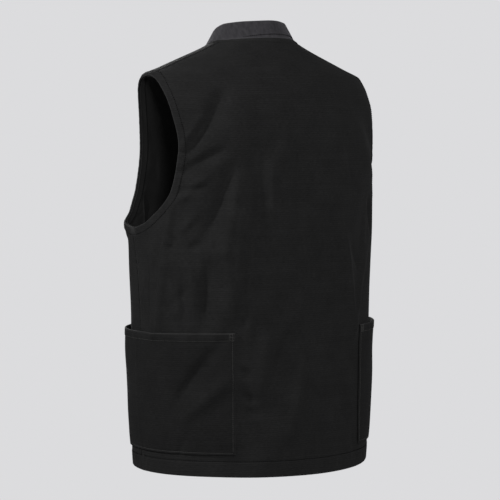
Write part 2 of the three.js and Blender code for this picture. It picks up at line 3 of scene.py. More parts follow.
import bpy
import numpy as np
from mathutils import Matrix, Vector


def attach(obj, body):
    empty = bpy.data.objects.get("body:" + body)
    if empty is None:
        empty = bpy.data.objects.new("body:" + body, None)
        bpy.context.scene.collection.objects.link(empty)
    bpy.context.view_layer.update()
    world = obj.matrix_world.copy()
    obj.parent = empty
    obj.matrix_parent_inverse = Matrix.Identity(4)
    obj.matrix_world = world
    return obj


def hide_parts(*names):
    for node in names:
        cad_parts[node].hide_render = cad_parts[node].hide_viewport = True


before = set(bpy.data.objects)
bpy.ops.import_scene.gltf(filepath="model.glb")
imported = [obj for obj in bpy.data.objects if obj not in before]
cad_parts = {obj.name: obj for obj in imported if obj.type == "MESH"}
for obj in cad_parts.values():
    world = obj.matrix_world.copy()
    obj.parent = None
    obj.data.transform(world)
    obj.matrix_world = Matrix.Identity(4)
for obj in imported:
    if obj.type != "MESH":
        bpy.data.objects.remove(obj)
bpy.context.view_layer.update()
bpy.context.scene.view_settings.view_transform = "Standard"

# Back panel
# One piece of heavy black duck canvas, cut without a centre seam. It hangs from the shoulder seams,
# is felled to the fronts at the sides, and its hem and armhole edges are turned in and stitched.

MM = 0.001
NECK_HALF_WIDTH = 0.072
NECK_BACK_DEPTH = 0.062
NECK_FRONT_DEPTH = 0.050
SHOULDER_HALF_WIDTH = 0.207
SHOULDER_BACK_DEPTH = 0.095
SHOULDER_FRONT_DEPTH = 0.084
CHEST_HALF_WIDTH = 0.2165
CHEST_BACK_DEPTH = 0.133
CHEST_FRONT_DEPTH = 0.144
HEM_HALF_WIDTH = 0.207
HEM_BACK_DEPTH = 0.133
HEM_FRONT_DEPTH = 0.142
SHOULDER_DROP = 0.056
ARMHOLE_DROP = 0.289
HEM_DROP = 0.666
BACK_HEM_DIP = 0.012
HEM_DIP_TURN = 22
BACK_NECK_RISE = 0.004
FRONT_NECK_DROP = 0.078
CLOTH = 0.0022
HEM_TURN_UP = 0.024
HEM_EXTRA = 0.0013
ARMHOLE_BACK_REACH = 36
ARMHOLE_FRONT_REACH = 42
ARMHOLE_LEAN = 12.5
MEAN_RADIUS = 0.17
FINE_SPREAD = 12
FINE_DEPTH = 1.7
BROAD_DEPTH = 1.2

# The body's four levels: drop, half width, depth to the back and depth to the front
LEVELS = np.array([
    (0, NECK_HALF_WIDTH, NECK_BACK_DEPTH, NECK_FRONT_DEPTH),
    (SHOULDER_DROP, SHOULDER_HALF_WIDTH, SHOULDER_BACK_DEPTH, SHOULDER_FRONT_DEPTH),
    (ARMHOLE_DROP, CHEST_HALF_WIDTH, CHEST_BACK_DEPTH, CHEST_FRONT_DEPTH),
    (HEM_DROP, HEM_HALF_WIDTH, HEM_BACK_DEPTH, HEM_FRONT_DEPTH),
])
# Sections: level, then shares of the way to the next level, then how square back and front are
SECTIONS = [
    (-0.08, -0.06, -0.06, -0.06, 2.0, 2.0),
    (0, 0, 0, 0, 2.0, 2.0),
    (0.18, 0.16, 0.15, 0.18, 2.05, 2.0),
    (0.5, 0.5, 0.45, 0.47, 2.1, 2.05),
    (0.75, 0.76, 0.73, 0.74, 2.15, 2.1),
    (1, 0, 0, 0, 2.2, 2.15),
    (1.1, 0.8, 0.32, 0.22, 2.35, 2.2),
    (1.23, 1, 0.61, 0.42, 2.5, 2.25),
    (1.47, 1, 0.9, 0.7, 2.5, 2.3),
    (1.75, 1, 0.98, 0.9, 2.3, 2.3),
    (2, 0, 0, 0, 2.2, 2.2),
    (2.43, 0.57, 0.5, 0, 2.2, 2.2),
    (2.84, 0.68, 0.8, 0.3, 2.2, 2.2),
    (3, 1, 1, 1, 2.2, 2.2),
]
# Armhole outline: turn round it in degrees, then shares of its reach to the back and the front
ARMHOLE = [
    (0, 0, 0), (30, 0.5, 0.62), (60, 0.82, 0.9), (90, 0.98, 1),
    (120, 0.92, 0.89), (150, 0.52, 0.5), (180, 0, 0),
]
SIDE_SEAM = [(2, 102.5), (2.22, 97.8), (2.5, 95.8), (3, 98)]

# Folds: start angle and level, end angle and level, height and spread in millimetres
MAIN_FOLDS = [
    (38, 1.18, 55, 1.5, -5.6, 18), (40, 1.5, 58, 1.63, -3.2, 15.6), (34, 1.6, 47, 2.03, -6.4, 20.8),
    (46, 2.13, 51, 2.42, -4.4, 20.8), (23, 1.45, 25, 2.1, -5.6, 23.4), (25, 2.1, 33, 2.4, -4.4, 20.8),
    (3, 1.5, 3, 2.0, -4.0, 20.8), (10, 2.44, 15, 2.62, -3.6, 18.2), (34, 1.68, 39, 2.36, 4.8, 31.2),
    (-6, 1.55, -9, 2.0, 4.0, 31.2), (66, 1.82, 78, 2.43, 4.8, 18.2), (1, 2.47, 9, 2.85, 4.0, 33.8),
    (-21, 2.0, -30, 2.43, 4.0, 20.8), (-38, 1.2, -54, 1.5, -5.6, 23.4), (-44, 1.75, -36, 2.35, -4.0, 26),
    (-66, 1.85, -76, 2.4, 4.0, 26), (42, 2.47, 65, 2.7, -4.0, 28.6), (126, 1.98, 139, 2.35, -4.0, 31.2),
    (112, 1.93, 130, 2.05, 6.4, 20.8),
    (-126, 1.98, -139, 2.35, -4.0, 31.2), (154, 1.6, 160, 2.3, 3.2, 33.8), (-154, 1.6, -160, 2.3, 3.2, 33.8),
]
SMALL_FOLDS = [
    (37, 1.17, 46, 1.33, -3.2, 7.5), (46, 1.33, 55, 1.5, -4.0, 7.5), (40, 1.5, 57, 1.62, -4.4, 7),
    (50, 1.73, 60, 1.76, -3.0, 6), (35, 1.61, 40, 1.84, -3.6, 8.5), (40, 1.84, 47, 2.02, -3.8, 8.5),
    (47, 2.15, 50, 2.4, -3.6, 8), (49, 2.05, 56, 2.08, -3.2, 7), (23, 1.48, 22, 1.81, -2.4, 9),
    (22, 1.81, 26, 2.16, -3.0, 9), (26, 2.16, 32, 2.37, -3.2, 9), (3, 1.52, 3, 1.96, -2.4, 7),
    (10, 2.44, 15, 2.6, -3.4, 7), (33, 2.57, 29, 2.59, -3.0, 7), (31, 2.67, 28, 2.69, -3.2, 6),
    (30, 2.73, 26, 2.75, -2.6, 6), (34, 1.69, 40, 2.1, 3.0, 9), (40, 2.1, 36, 2.35, 3.0, 9),
    (-5, 1.58, -8, 1.98, 2.4, 9), (66, 1.85, 69, 2.05, 3.4, 5.5), (69, 2.05, 78, 2.43, 3.8, 5.5),
    (2, 2.02, 1, 2.24, 2.2, 4.5), (4.5, 2.04, 3.5, 2.2, -2.0, 4.5), (1, 2.48, 9, 2.82, 3.0, 9),
    (-21, 2.02, -30, 2.42, 3.4, 7), (-46, 2.1, -34, 2.33, 2.8, 8), (39, 2.61, 60, 2.76, 3.4, 11),
    (42, 2.46, 64, 2.68, -2.0, 9), (18, 1.62, 17, 1.95, 2.4, 9), (12, 1.3, 16, 1.5, -2.0, 9),
    (60, 2.18, 61, 2.42, -3.0, 7), (86, 2.1, 88, 2.4, -2.2, 7), (-24, 1.4, -30, 1.75, -3.0, 10),
    (-52, 1.55, -61, 1.62, -3.2, 7), (-50, 1.85, -57, 2.05, -3.0, 8), (118, 2.05, 126, 2.2, -2.8, 8),
    (-118, 2.05, -124, 2.2, -2.8, 8), (148, 1.5, 152, 1.9, -2.4, 11), (-150, 1.45, -155, 1.85, -2.4, 11),
    (165, 2.3, 163, 2.8, 2.6, 12), (-164, 2.2, -166, 2.75, 2.6, 12), (46, 1.27, 58, 1.45, 2.6, 6),
    (47, 1.66, 62, 1.82, 2.8, 7), (54, 1.92, 62, 2.02, 2.4, 7), (31, 1.9, 34, 2.3, 2.4, 8),
    (-13, 1.9, -17, 2.25, -2.6, 8), (58, 2.08, 55, 2.3, 2.2, 8), (80, 2.06, 84, 2.3, 2.2, 7),
    (52, 2.56, 66, 2.72, -2.2, 9), (-8, 2.55, -12, 2.8, 2.4, 11), (-20, 2.6, -24, 2.8, -2.2, 10),
    (20, 2.45, 24, 2.7, 2.4, 9), (34, 1.1, 42, 1.2, -2.4, 8), (12, 2.1, 14, 2.35, -1.8, 8),
    (62, 2.02, 72, 2.12, -1.3, 6), (70, 2.15, 64, 2.34, 2.4, 6), (56, 2.22, 68, 2.32, -1.2, 6),
    (74, 2.05, 81, 2.2, -2.4, 6), (-28, 2.1, -40, 2.2, -2.4, 7), (-36, 2.25, -31, 2.45, 2.4, 7),
    (-44, 1.98, -41, 2.14, 2.2, 7), (14, 1.72, 12, 1.98, -2.2, 6), (28, 2.2, 29, 2.45, 2.0, 6),
    (60, 2.84, 66, 2.93, -1.4, 6), (10, 2.86, 14, 2.95, -1.4, 6), (-30, 2.86, -34, 2.95, -1.4, 6),
]


def bell(distance, width):
    return np.exp(-((distance / width) ** 2))


def smooth_curve(xs, ys):
    """A curve through a short table's rows that never overshoots them."""
    xs = np.asarray(xs, float)
    ys = np.asarray(ys, float)
    slope = np.diff(ys) / np.diff(xs)
    product = slope[:-1] * slope[1:]
    total = np.where(product > 0, slope[:-1] + slope[1:], 1)
    tangent = np.concatenate([slope[:1], np.where(product > 0, 2 * product / total, 0), slope[-1:]])

    def curve(x):
        i = np.clip(np.searchsorted(xs, x, side="right") - 1, 0, len(xs) - 2)
        step = xs[i + 1] - xs[i]
        t = np.clip((x - xs[i]) / step, 0, 1)
        ends = ys[i] * (1 + 2 * t) * (1 - t) ** 2 + ys[i + 1] * (3 - 2 * t) * t * t
        return ends + step * (tangent[i] * t * (1 - t) ** 2 + tangent[i + 1] * (t - 1) * t * t)

    return curve


def level_height(level):
    zone = int(np.clip(np.floor(level), 0, 2))
    return -(LEVELS[zone, 0] + (level - zone) * (LEVELS[zone + 1, 0] - LEVELS[zone, 0]))


def section_curve(column):
    values = []
    for row in SECTIONS:
        zone = int(np.clip(np.floor(row[0]), 0, 2))
        share = 1 if row[0] == 3 else row[column]
        values.append(LEVELS[zone, column] + share * (LEVELS[zone + 1, column] - LEVELS[zone, column]))
    return smooth_curve(SECTION_DROPS, values)


SECTION_DROPS = [-level_height(row[0]) for row in SECTIONS]
half_width = section_curve(1)
back_depth = section_curve(2)
front_depth = section_curve(3)
square_back = smooth_curve(SECTION_DROPS, [row[4] for row in SECTIONS])
square_front = smooth_curve(SECTION_DROPS, [row[5] for row in SECTIONS])
armhole_back = smooth_curve([row[0] for row in ARMHOLE], [row[1] for row in ARMHOLE])
armhole_front = smooth_curve([row[0] for row in ARMHOLE], [row[2] for row in ARMHOLE])
seam_angle = smooth_curve([-level_height(row[0]) for row in SIDE_SEAM], [row[1] for row in SIDE_SEAM])


def form(angle, z):
    """The worn body. angle: 0 centre back, 90 the wearer's left, 180 centre front."""
    sine = np.sin(np.radians(angle))
    cosine = np.cos(np.radians(angle))
    square = np.where(cosine >= 0, square_back(-z), square_front(-z))
    depth = np.where(cosine >= 0, back_depth(-z), front_depth(-z))
    reach = (np.abs(sine) ** square + np.abs(cosine) ** square) ** (-1 / square)
    lowest = np.maximum(np.cos(np.radians(angle + HEM_DIP_TURN)), 0)
    dip = BACK_HEM_DIP * lowest ** 2 * (z / HEM_DROP) ** 4
    return np.stack([half_width(-z) * sine * reach, depth * cosine * reach, z - dip], -1)


def unit(vectors):
    return vectors / np.maximum(np.linalg.norm(vectors, axis=-1, keepdims=True), 1e-12)


def outward(angle, z):
    around = form(angle + 0.4, z) - form(angle - 0.4, z)
    up = form(angle, z + 0.8 * MM) - form(angle, z - 0.8 * MM)
    return unit(np.cross(up, around))


def along_fold(angle, z, ends, girth):
    """How far along a fold each point is, from 0 to 1, and how far away from it."""
    start, level, end, end_level = ends
    start_z = level_height(level)
    run_x = np.radians(end - start) * girth
    run_z = level_height(end_level) - start_z
    x = np.radians(angle - start) * girth
    near = np.clip((x * run_x + (z - start_z) * run_z) / (run_x ** 2 + run_z ** 2), 0, 1)
    return near, np.hypot(x - near * run_x, z - start_z - near * run_z)


def fold_height(angle, z):
    """How far folds lift or sink the cloth, with its slack in slow waves."""
    girth = (CHEST_HALF_WIDTH + CHEST_BACK_DEPTH) / 2
    height = np.zeros(np.broadcast(angle, z).shape)
    for *ends, lift, spread in MAIN_FOLDS + SMALL_FOLDS:
        near, away = along_fold(angle, z, ends, girth)
        middle = (0.55 + 0.45 * np.sin(np.pi * near)) * (FINE_DEPTH if spread < FINE_SPREAD else BROAD_DEPTH)
        height += lift * MM * middle * bell(away, spread * MM)
    hang = np.clip((-z - SHOULDER_DROP) / 0.12, 0, 1)
    for waves, speed, phase in ((3, 21, 0.6), (5, 34, 2.1), (7, 27, 4.4), (11, 45, 1.3)):
        turned = np.radians(angle) * waves + z * speed + phase
        height += 0.35 * MM * hang * np.sin(turned)
    return height


def cloth(angle, z, offset=0.0):
    lift = fold_height(angle, z) + offset
    return form(angle, z) + outward(angle, z) * np.asarray(lift)[..., None]


def angle_at_width(x, z, square):
    share = np.clip(x / half_width(-z), 0, 1)
    return np.degrees(np.arctan2(share, (1 - share ** square) ** (1 / square)))


def shoulder_height(x):
    drops = np.linspace(0, SHOULDER_DROP, 400)
    return -np.interp(x, half_width(drops), drops)


def top_height(x, is_back, inset=0.0):
    """Height of a panel's top edge: the neckline, then the shoulder seam."""
    neck = NECK_HALF_WIDTH + inset
    bow = np.clip(1 - (x / neck) ** 2, 0, 1)
    side = shoulder_height(neck) if inset > 0 else 0.0
    drop = BACK_NECK_RISE * bow if is_back else -(FRONT_NECK_DROP + inset / 2) * bow ** 0.75
    return np.where(x >= neck, shoulder_height(x), side + drop)


def armhole_edge(turn, is_back):
    down = (1 - np.cos(np.radians(turn))) / 2
    if is_back:
        reach = -ARMHOLE_BACK_REACH * armhole_back(turn)
    else:
        reach = ARMHOLE_FRONT_REACH * armhole_front(turn)
    return 90 + ARMHOLE_LEAN * down + reach, -(SHOULDER_DROP + (ARMHOLE_DROP - SHOULDER_DROP) * down)


def facing_share(turn, is_back):
    """The facing is wider down the fronts than round the back."""
    return 1 + (0 if is_back else 0.1) * np.abs(np.sin(np.radians(turn)))


def step_on_form(angle, z, move):
    """The angle and height that a small move across the body leads to."""
    around = form(angle + 0.5, z) - form(angle - 0.5, z)
    up = form(angle, z + 0.5 * MM) - form(angle, z - 0.5 * MM)
    angle = angle + (move * around).sum(-1) / (around ** 2).sum(-1)
    return angle, z + MM * (move * up).sum(-1) / (up ** 2).sum(-1)


def armhole_edge_out(turn, is_back, width):
    """The armhole edge moved away from the opening, measured on the cloth."""
    turn = np.asarray(turn, float)
    ends = []
    for step in (-2.0, 2.0):
        moved = turn + step
        same = armhole_edge(np.clip(moved, 0, 180), is_back)
        folded_back = np.where(moved < 0, -moved, np.where(moved > 180, 360 - moved, moved))
        other = armhole_edge(folded_back, not is_back)
        past = (moved < 0) | (moved > 180)
        ends.append(form(np.where(past, other[0], same[0]), np.where(past, other[1], same[1])))
    tangent = (ends[1] - ends[0]) * (1 if is_back else -1)
    angle, z = armhole_edge(turn, is_back)
    for _ in range(4):
        away = unit(np.cross(outward(angle, z), tangent)) * np.asarray(width)[..., None] / 4
        angle, z = step_on_form(angle, z, away)
    return angle, z


ROW_SAG = 0.012


def panel_grid(is_back, turns, heights, columns, neck_knot, width=0.0, inset=0.0, centre=0.0):
    """Angles and heights of a panel's grid: rows run from the centre line to the armhole and side seam."""
    neck_share = (NECK_HALF_WIDTH + inset - centre) / (SHOULDER_HALF_WIDTH - centre)
    inner = columns / neck_knot
    outer = (columns - neck_knot) / (1 - neck_knot)
    shoulder_top = neck_share + (1 - neck_share) * outer
    top = np.where(columns < neck_knot, neck_share * np.sin(inner * np.pi / 2), shoulder_top)

    def edge_of(turn):
        reach = width * facing_share(turn, is_back)
        return armhole_edge_out(turn, is_back, reach) if width > 0 else armhole_edge(turn, is_back)

    tip_angle, tip_z = edge_of(np.array([0.0]))
    low_z = edge_of(np.array([180.0]))[1]
    middle_z = (tip_z + low_z) / 2
    turn_angle, turn_z = edge_of(turns)
    edge_angle = np.concatenate([turn_angle, seam_angle(-heights)])[:, None]
    edge_z = np.concatenate([turn_z, heights])[:, None]
    even = np.where(turns > 90, middle_z + (low_z - ROW_SAG - middle_z) * (turns / 90 - 1), turn_z)
    even = np.concatenate([even, heights])[:, None]
    square = square_back if is_back else square_front
    tip_x = form(tip_angle, tip_z)[0, 0]
    edge_x = form(edge_angle, edge_z)[..., 0]
    fade = np.clip((edge_z - middle_z) / (tip_z - middle_z), 0, 1)
    blend = np.clip((middle_z - edge_z) / (middle_z - low_z), 0, 1)
    blend = blend * blend * (3 - 2 * blend)
    share = top * (1 - blend) + columns * blend
    top_z = top_height(centre + (tip_x - centre) * top, is_back, inset)
    z = even + (edge_z - even) * share ** 2 + (top_z - tip_z) * fade
    straight = angle_at_width(centre + (edge_x - centre) * share, z, square(-z))
    start = angle_at_width(centre, z, square(-z))
    reach = edge_angle if is_back else 180 - edge_angle
    angle = straight * (1 - blend) + (start + (reach - start) * share) * blend
    return (angle if is_back else 180 - angle), z


def lengths_along(line):
    return np.concatenate([[0], np.cumsum(np.linalg.norm(np.diff(line, axis=0), axis=1))])


def nearest(points, line):
    """Distance from each point to a line of points, and how far along the line that is."""
    along = lengths_along(line)
    flat = points.reshape(-1, 3)
    best = np.full(len(flat), 1e9)
    where = np.zeros(len(flat))
    for i in range(len(line) - 1):
        run = line[i + 1] - line[i]
        t = np.clip(((flat - line[i]) @ run) / max(run @ run, 1e-12), 0, 1)
        away = np.linalg.norm(flat - line[i] - t[:, None] * run, axis=1)
        closer = away < best
        best[closer] = away[closer]
        where[closer] = (along[i] + t * (along[i + 1] - along[i]))[closer]
    return best.reshape(points.shape[:-1]), where.reshape(points.shape[:-1])


def ripple(along, wave, seed):
    """Uneven waves along a seam, about one wave long."""
    draw = np.random.default_rng(seed)
    total = np.zeros(np.shape(along))
    for _ in range(6):
        total = total + np.sin(2 * np.pi * along / (wave * draw.uniform(0.6, 1.7)) + draw.uniform(0, 6.28))
    return total / 2.6


def groove(away, place, width=0.9 * MM):
    return bell(away - place, width)


ARM_STITCH = 11.5 * MM
SEAM_STITCHES = (1.7 * MM, 9.5 * MM)
NECK_STITCH = 7 * MM
LEFT_PUCKER = 1.4 * MM
RIGHT_PUCKER = 0.3 * MM
JUST_INSIDE = 0.9999
SIDES = (("left", 1), ("right", -1))
armhole_turns = np.linspace(0, 180, 91)


def neckline_angle(x, z, is_back):
    """Where a point of the neckline lies round the body, from its distance to the centre line."""
    angle = angle_at_width(x, z, (square_back if is_back else square_front)(-z))
    return angle if is_back else 180 - angle


def armhole_line(side):
    """The armhole's edge as points, down its back and up its front. The right side has its own folds."""
    back = armhole_edge(armhole_turns, True)
    front = armhole_edge(armhole_turns[::-1], False)
    angle = np.concatenate([back[0], front[0][1:]])
    z = np.concatenate([back[1], front[1][1:]])
    return cloth(side * angle, z)


def seam_relief(points, angle, z, side, is_back):
    """Outer relief in metres near the seams, and the share of a paler grey there: wear, and on the armhole's
    rolled edge partly a painted highlight.
    """
    arm, arm_along = nearest(points, armhole_line(side))
    seam_z = np.linspace(-ARMHOLE_DROP, -HEM_DROP, 60)
    shoulder_x = np.linspace(NECK_HALF_WIDTH, SHOULDER_HALF_WIDTH, 30)
    side_away, side_along = nearest(points, cloth(side * seam_angle(-seam_z), seam_z))
    top_away, top_along = nearest(points, cloth(side * 90.0, shoulder_height(shoulder_x)))
    neck_x = NECK_HALF_WIDTH * np.sin(np.linspace(0, np.pi / 2, 40))
    neck_z = top_height(neck_x * JUST_INSIDE, is_back)
    neck_line = cloth(side * neckline_angle(neck_x, neck_z, is_back), neck_z)
    neck_away, neck_along = nearest(points, neck_line)
    hem = z + HEM_DROP
    hem_along = np.radians(np.abs(angle)) * MEAN_RADIUS

    band = np.clip((ARM_STITCH + 1 * MM - arm) / (1.6 * MM), 0, 1)
    relief = 0.5 * MM * band - 0.5 * MM * groove(arm, ARM_STITCH)
    pull = 0.3 + 0.7 * bell(arm_along - 0.155, 0.045)
    pucker = LEFT_PUCKER if side > 0 else RIGHT_PUCKER
    relief += pucker * pull * ripple(arm_along, 13 * MM, 11) * bell(arm - 7 * MM, 6 * MM)
    for away, along, seed in ((side_away, side_along, 21), (top_away, top_along, 31)):
        ridge = 0.55 * MM if is_back else 0.0
        relief += ridge * np.clip((SEAM_STITCHES[1] + 0.6 * MM - away) / (1.4 * MM), 0, 1)
        stitched = groove(away, SEAM_STITCHES[0]) + groove(away, SEAM_STITCHES[1])
        relief -= (0.32 * MM if is_back else 0) * stitched
        relief += 0.22 * MM * ripple(along, 11 * MM, seed) * bell(away, 12 * MM)
    relief += 0.7 * MM * np.clip((NECK_STITCH + 0.8 * MM - neck_away) / (1.4 * MM), 0, 1)
    relief -= 0.8 * MM * groove(neck_away, NECK_STITCH, 1.2 * MM)
    relief += 0.2 * MM * ripple(neck_along, 10 * MM, 41) * bell(neck_away, 9 * MM)
    relief += 0.45 * MM * np.clip((HEM_TURN_UP + 0.8 * MM - hem) / (1.6 * MM), 0, 1)
    relief -= 0.5 * MM * groove(hem, HEM_TURN_UP)
    roping = ripple(hem_along + 0.55 * hem, 12 * MM, 51)
    relief += 0.6 * MM * roping * bell(hem - 14 * MM, 12 * MM)

    # On the armhole's rolled edge the paler grey is partly wear and partly a painted highlight; along the
    # hem, side seams and neck it is wear.
    wear_and_painted_light = 0.75 * bell(arm, 1.4 * MM) + 0.15 * bell(hem - 0.5 * MM, 2 * MM)
    wear_and_painted_light += 0.08 * bell(side_away - 5 * MM, 4 * MM) * (1 if is_back else 0)
    wear_and_painted_light += 0.1 * bell(neck_away - 3 * MM, 3 * MM)
    return relief, arm, hem, np.clip(wear_and_painted_light, 0, 1)


def edge_bulk(away):
    """The extra thickness of the cloth that is turned in at the armhole."""
    return 1.2 * MM * bell(away, 2.6 * MM)


def rolled(away, radius):
    """1 on the flat cloth, falling to nearly 0 at a turned edge, as a half round does."""
    share = np.clip(1 - away / radius, 0, 1)
    return np.sqrt(np.clip(1 - share * share, 0.02, 1))


CHART_TOP = 0.04
CHART_STEP = 0.01
LEVEL_ROW = 29
girth_angles = np.arange(0, 181, 1.0)
girth_heights = np.linspace(CHART_TOP, -0.70, 75)
girth_points = form(girth_angles[None, :], girth_heights[:, None])
girth_steps = np.linalg.norm(np.diff(girth_points, axis=1), axis=2)
girth_lengths = np.cumsum(np.pad(girth_steps, ((0, 0), (1, 0))), axis=1)
drop_steps = np.linalg.norm(np.diff(girth_points, axis=0), axis=2)
drop_lengths = np.cumsum(np.pad(drop_steps, ((1, 0), (0, 0))), axis=0)
drop_lengths -= drop_lengths[LEVEL_ROW].copy()


def straight_grain(angle, z):
    """The cloth's own lengths, across and up, so that its threads run level round the body."""
    turn = np.clip(np.abs(angle), 0, 179.99)
    level = np.clip((CHART_TOP - z) / CHART_STEP, 0, 73.99)
    i, j = turn.astype(int), level.astype(int)
    a, b = turn - i, level - j
    found = []
    for lengths in (girth_lengths, drop_lengths):
        low = lengths[j, i] * (1 - a) + lengths[j, i + 1] * a
        high = lengths[j + 1, i] * (1 - a) + lengths[j + 1, i + 1] * a
        found.append(low * (1 - b) + high * b)
    return np.stack([np.sign(angle) * found[0], -found[1]], -1)


def add_piece(name, mesh):
    """A piece that rides on the vest's one body."""
    mesh.update()
    piece = bpy.data.objects.new(name, mesh)
    bpy.context.scene.collection.objects.link(piece)
    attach(piece, "root")
    return piece


def shell(name, outer, inner, wear_and_painted_light=None, ring=False, chart=None):
    """A closed sheet of cloth between two grids of points, with its lengths along the cloth as a map."""
    rows, columns = outer.shape[:2]
    points = np.concatenate([outer.reshape(-1, 3), inner.reshape(-1, 3)])
    index = np.arange(rows * columns).reshape(rows, columns)
    if ring:
        index = np.concatenate([index, index[:1]])
    a, b, c, d = index[:-1, :-1], index[1:, :-1], index[1:, 1:], index[:-1, 1:]
    face = np.stack([a, b, c, d], -1).reshape(-1, 4)
    under = np.stack([a, d, c, b], -1).reshape(-1, 4) + rows * columns
    rims = []
    borders = [(index[:, 0], False), (index[:, -1], True)]
    if not ring:
        borders += [(index[0, :], True), (index[-1, :], False)]
    for line, turned in borders:
        here, after = (line[1:], line[:-1]) if turned else (line[:-1], line[1:])
        rims.append(np.stack([here, here + rows * columns, after + rows * columns, after], -1))
    faces = np.concatenate([face, under, *rims])
    corner = points[face]
    volume = (np.cross(corner[:, 2] - corner[:, 0], corner[:, 3] - corner[:, 1])
              * (points[face[:, 0]] - points[face[:, 0] + rows * columns])).sum()
    if volume < 0:
        faces = faces[:, ::-1]
    mesh = bpy.data.meshes.new(name)
    mesh.from_pydata(points.tolist(), [], faces.tolist())
    mesh.polygons.foreach_set("use_smooth", [True] * len(faces))
    across = np.zeros((rows, columns))
    across[:, 1:] = np.cumsum(np.linalg.norm(np.diff(outer, axis=1), axis=2), axis=1)
    across -= across[:, columns // 2:columns // 2 + 1]
    down = np.zeros((rows, columns))
    down[1:] = np.cumsum(np.linalg.norm(np.diff(outer, axis=0), axis=2), axis=0)
    lengths = np.stack([across, -down], -1) if chart is None else chart
    lengths = lengths.reshape(-1, 2)
    lengths = np.concatenate([lengths, lengths])
    layer = mesh.uv_layers.new(name="cloth")
    loops = np.zeros(len(mesh.loops), dtype=np.int32)
    mesh.loops.foreach_get("vertex_index", loops)
    layer.data.foreach_set("uv", lengths[loops].ravel().astype(np.float32))
    # Per point share of the second grey: wear, painted highlight and painted shadow.
    wear_and_painted_light_values = np.zeros(rows * columns * 2)
    if wear_and_painted_light is not None:
        wear_and_painted_light_values[:rows * columns] = wear_and_painted_light.ravel()
    attribute = mesh.attributes.new("wear_and_painted_light", "FLOAT", "POINT")
    attribute.data.foreach_set("value", wear_and_painted_light_values.astype(np.float32))
    return add_piece(name, mesh)


class Nodes:
    """Short calls for wiring a material."""

    def __init__(self, name):
        self.material = bpy.data.materials.new(name)
        self.material.use_nodes = True
        self.tree = self.material.node_tree
        self.shader = self.tree.nodes["Principled BSDF"]

    def add(self, kind, **settings):
        node = self.tree.nodes.new(kind)
        for key, value in settings.items():
            setattr(node, key, value)
        return node

    def wire(self, source, target):
        self.tree.links.new(source, target)

    def feed(self, value, socket):
        """Gives a socket a plain value, or wires another node to it."""
        if isinstance(value, (int, float, tuple)):
            socket.default_value = value
        else:
            self.wire(value, socket)

    def surface(self, values):
        for name, value in values.items():
            self.feed(value, self.shader.inputs[name])

    def math(self, operation, first, second=None):
        node = self.add("ShaderNodeMath", operation=operation)
        node.inputs[2].default_value = 0.5
        for socket, value in zip(node.inputs, (first, second)):
            if value is not None:
                self.feed(value, socket)
        return node.outputs[0]

    def noise(self, vector, scale, detail=3.0, roughness=0.5):
        node = self.add("ShaderNodeTexNoise")
        node.inputs["Scale"].default_value = scale
        node.inputs["Detail"].default_value = detail
        node.inputs["Roughness"].default_value = roughness
        self.wire(vector, node.inputs["Vector"])
        return node.outputs["Fac"]

    def stretched(self, vector, across, up):
        node = self.add("ShaderNodeVectorMath", operation="MULTIPLY")
        node.inputs[1].default_value = (across, up, 1)
        self.wire(vector, node.inputs[0])
        return node.outputs["Vector"]

    def ramp(self, value, stops):
        node = self.add("ShaderNodeValToRGB")
        while len(node.color_ramp.elements) < len(stops):
            node.color_ramp.elements.new(0.5)
        for element, (place, grey) in zip(node.color_ramp.elements, stops):
            element.position = place
            element.color = (*grey, 1) if isinstance(grey, tuple) else (grey, grey, grey, 1)
        self.wire(value, node.inputs["Fac"])
        return node.outputs["Color"]

    def bump(self, height, strength, distance):
        node = self.add("ShaderNodeBump")
        node.inputs["Strength"].default_value = strength
        node.inputs["Distance"].default_value = distance
        self.wire(height, node.inputs["Height"])
        self.wire(node.outputs["Normal"], self.shader.inputs["Normal"])

    def mix(self, kind, share, first, second):
        node = self.add("ShaderNodeMix", data_type="RGBA", blend_type=kind)
        for socket, value in ((node.inputs[0], share), (node.inputs[6], first), (node.inputs[7], second)):
            self.feed(value, socket)
        return node.outputs[2]


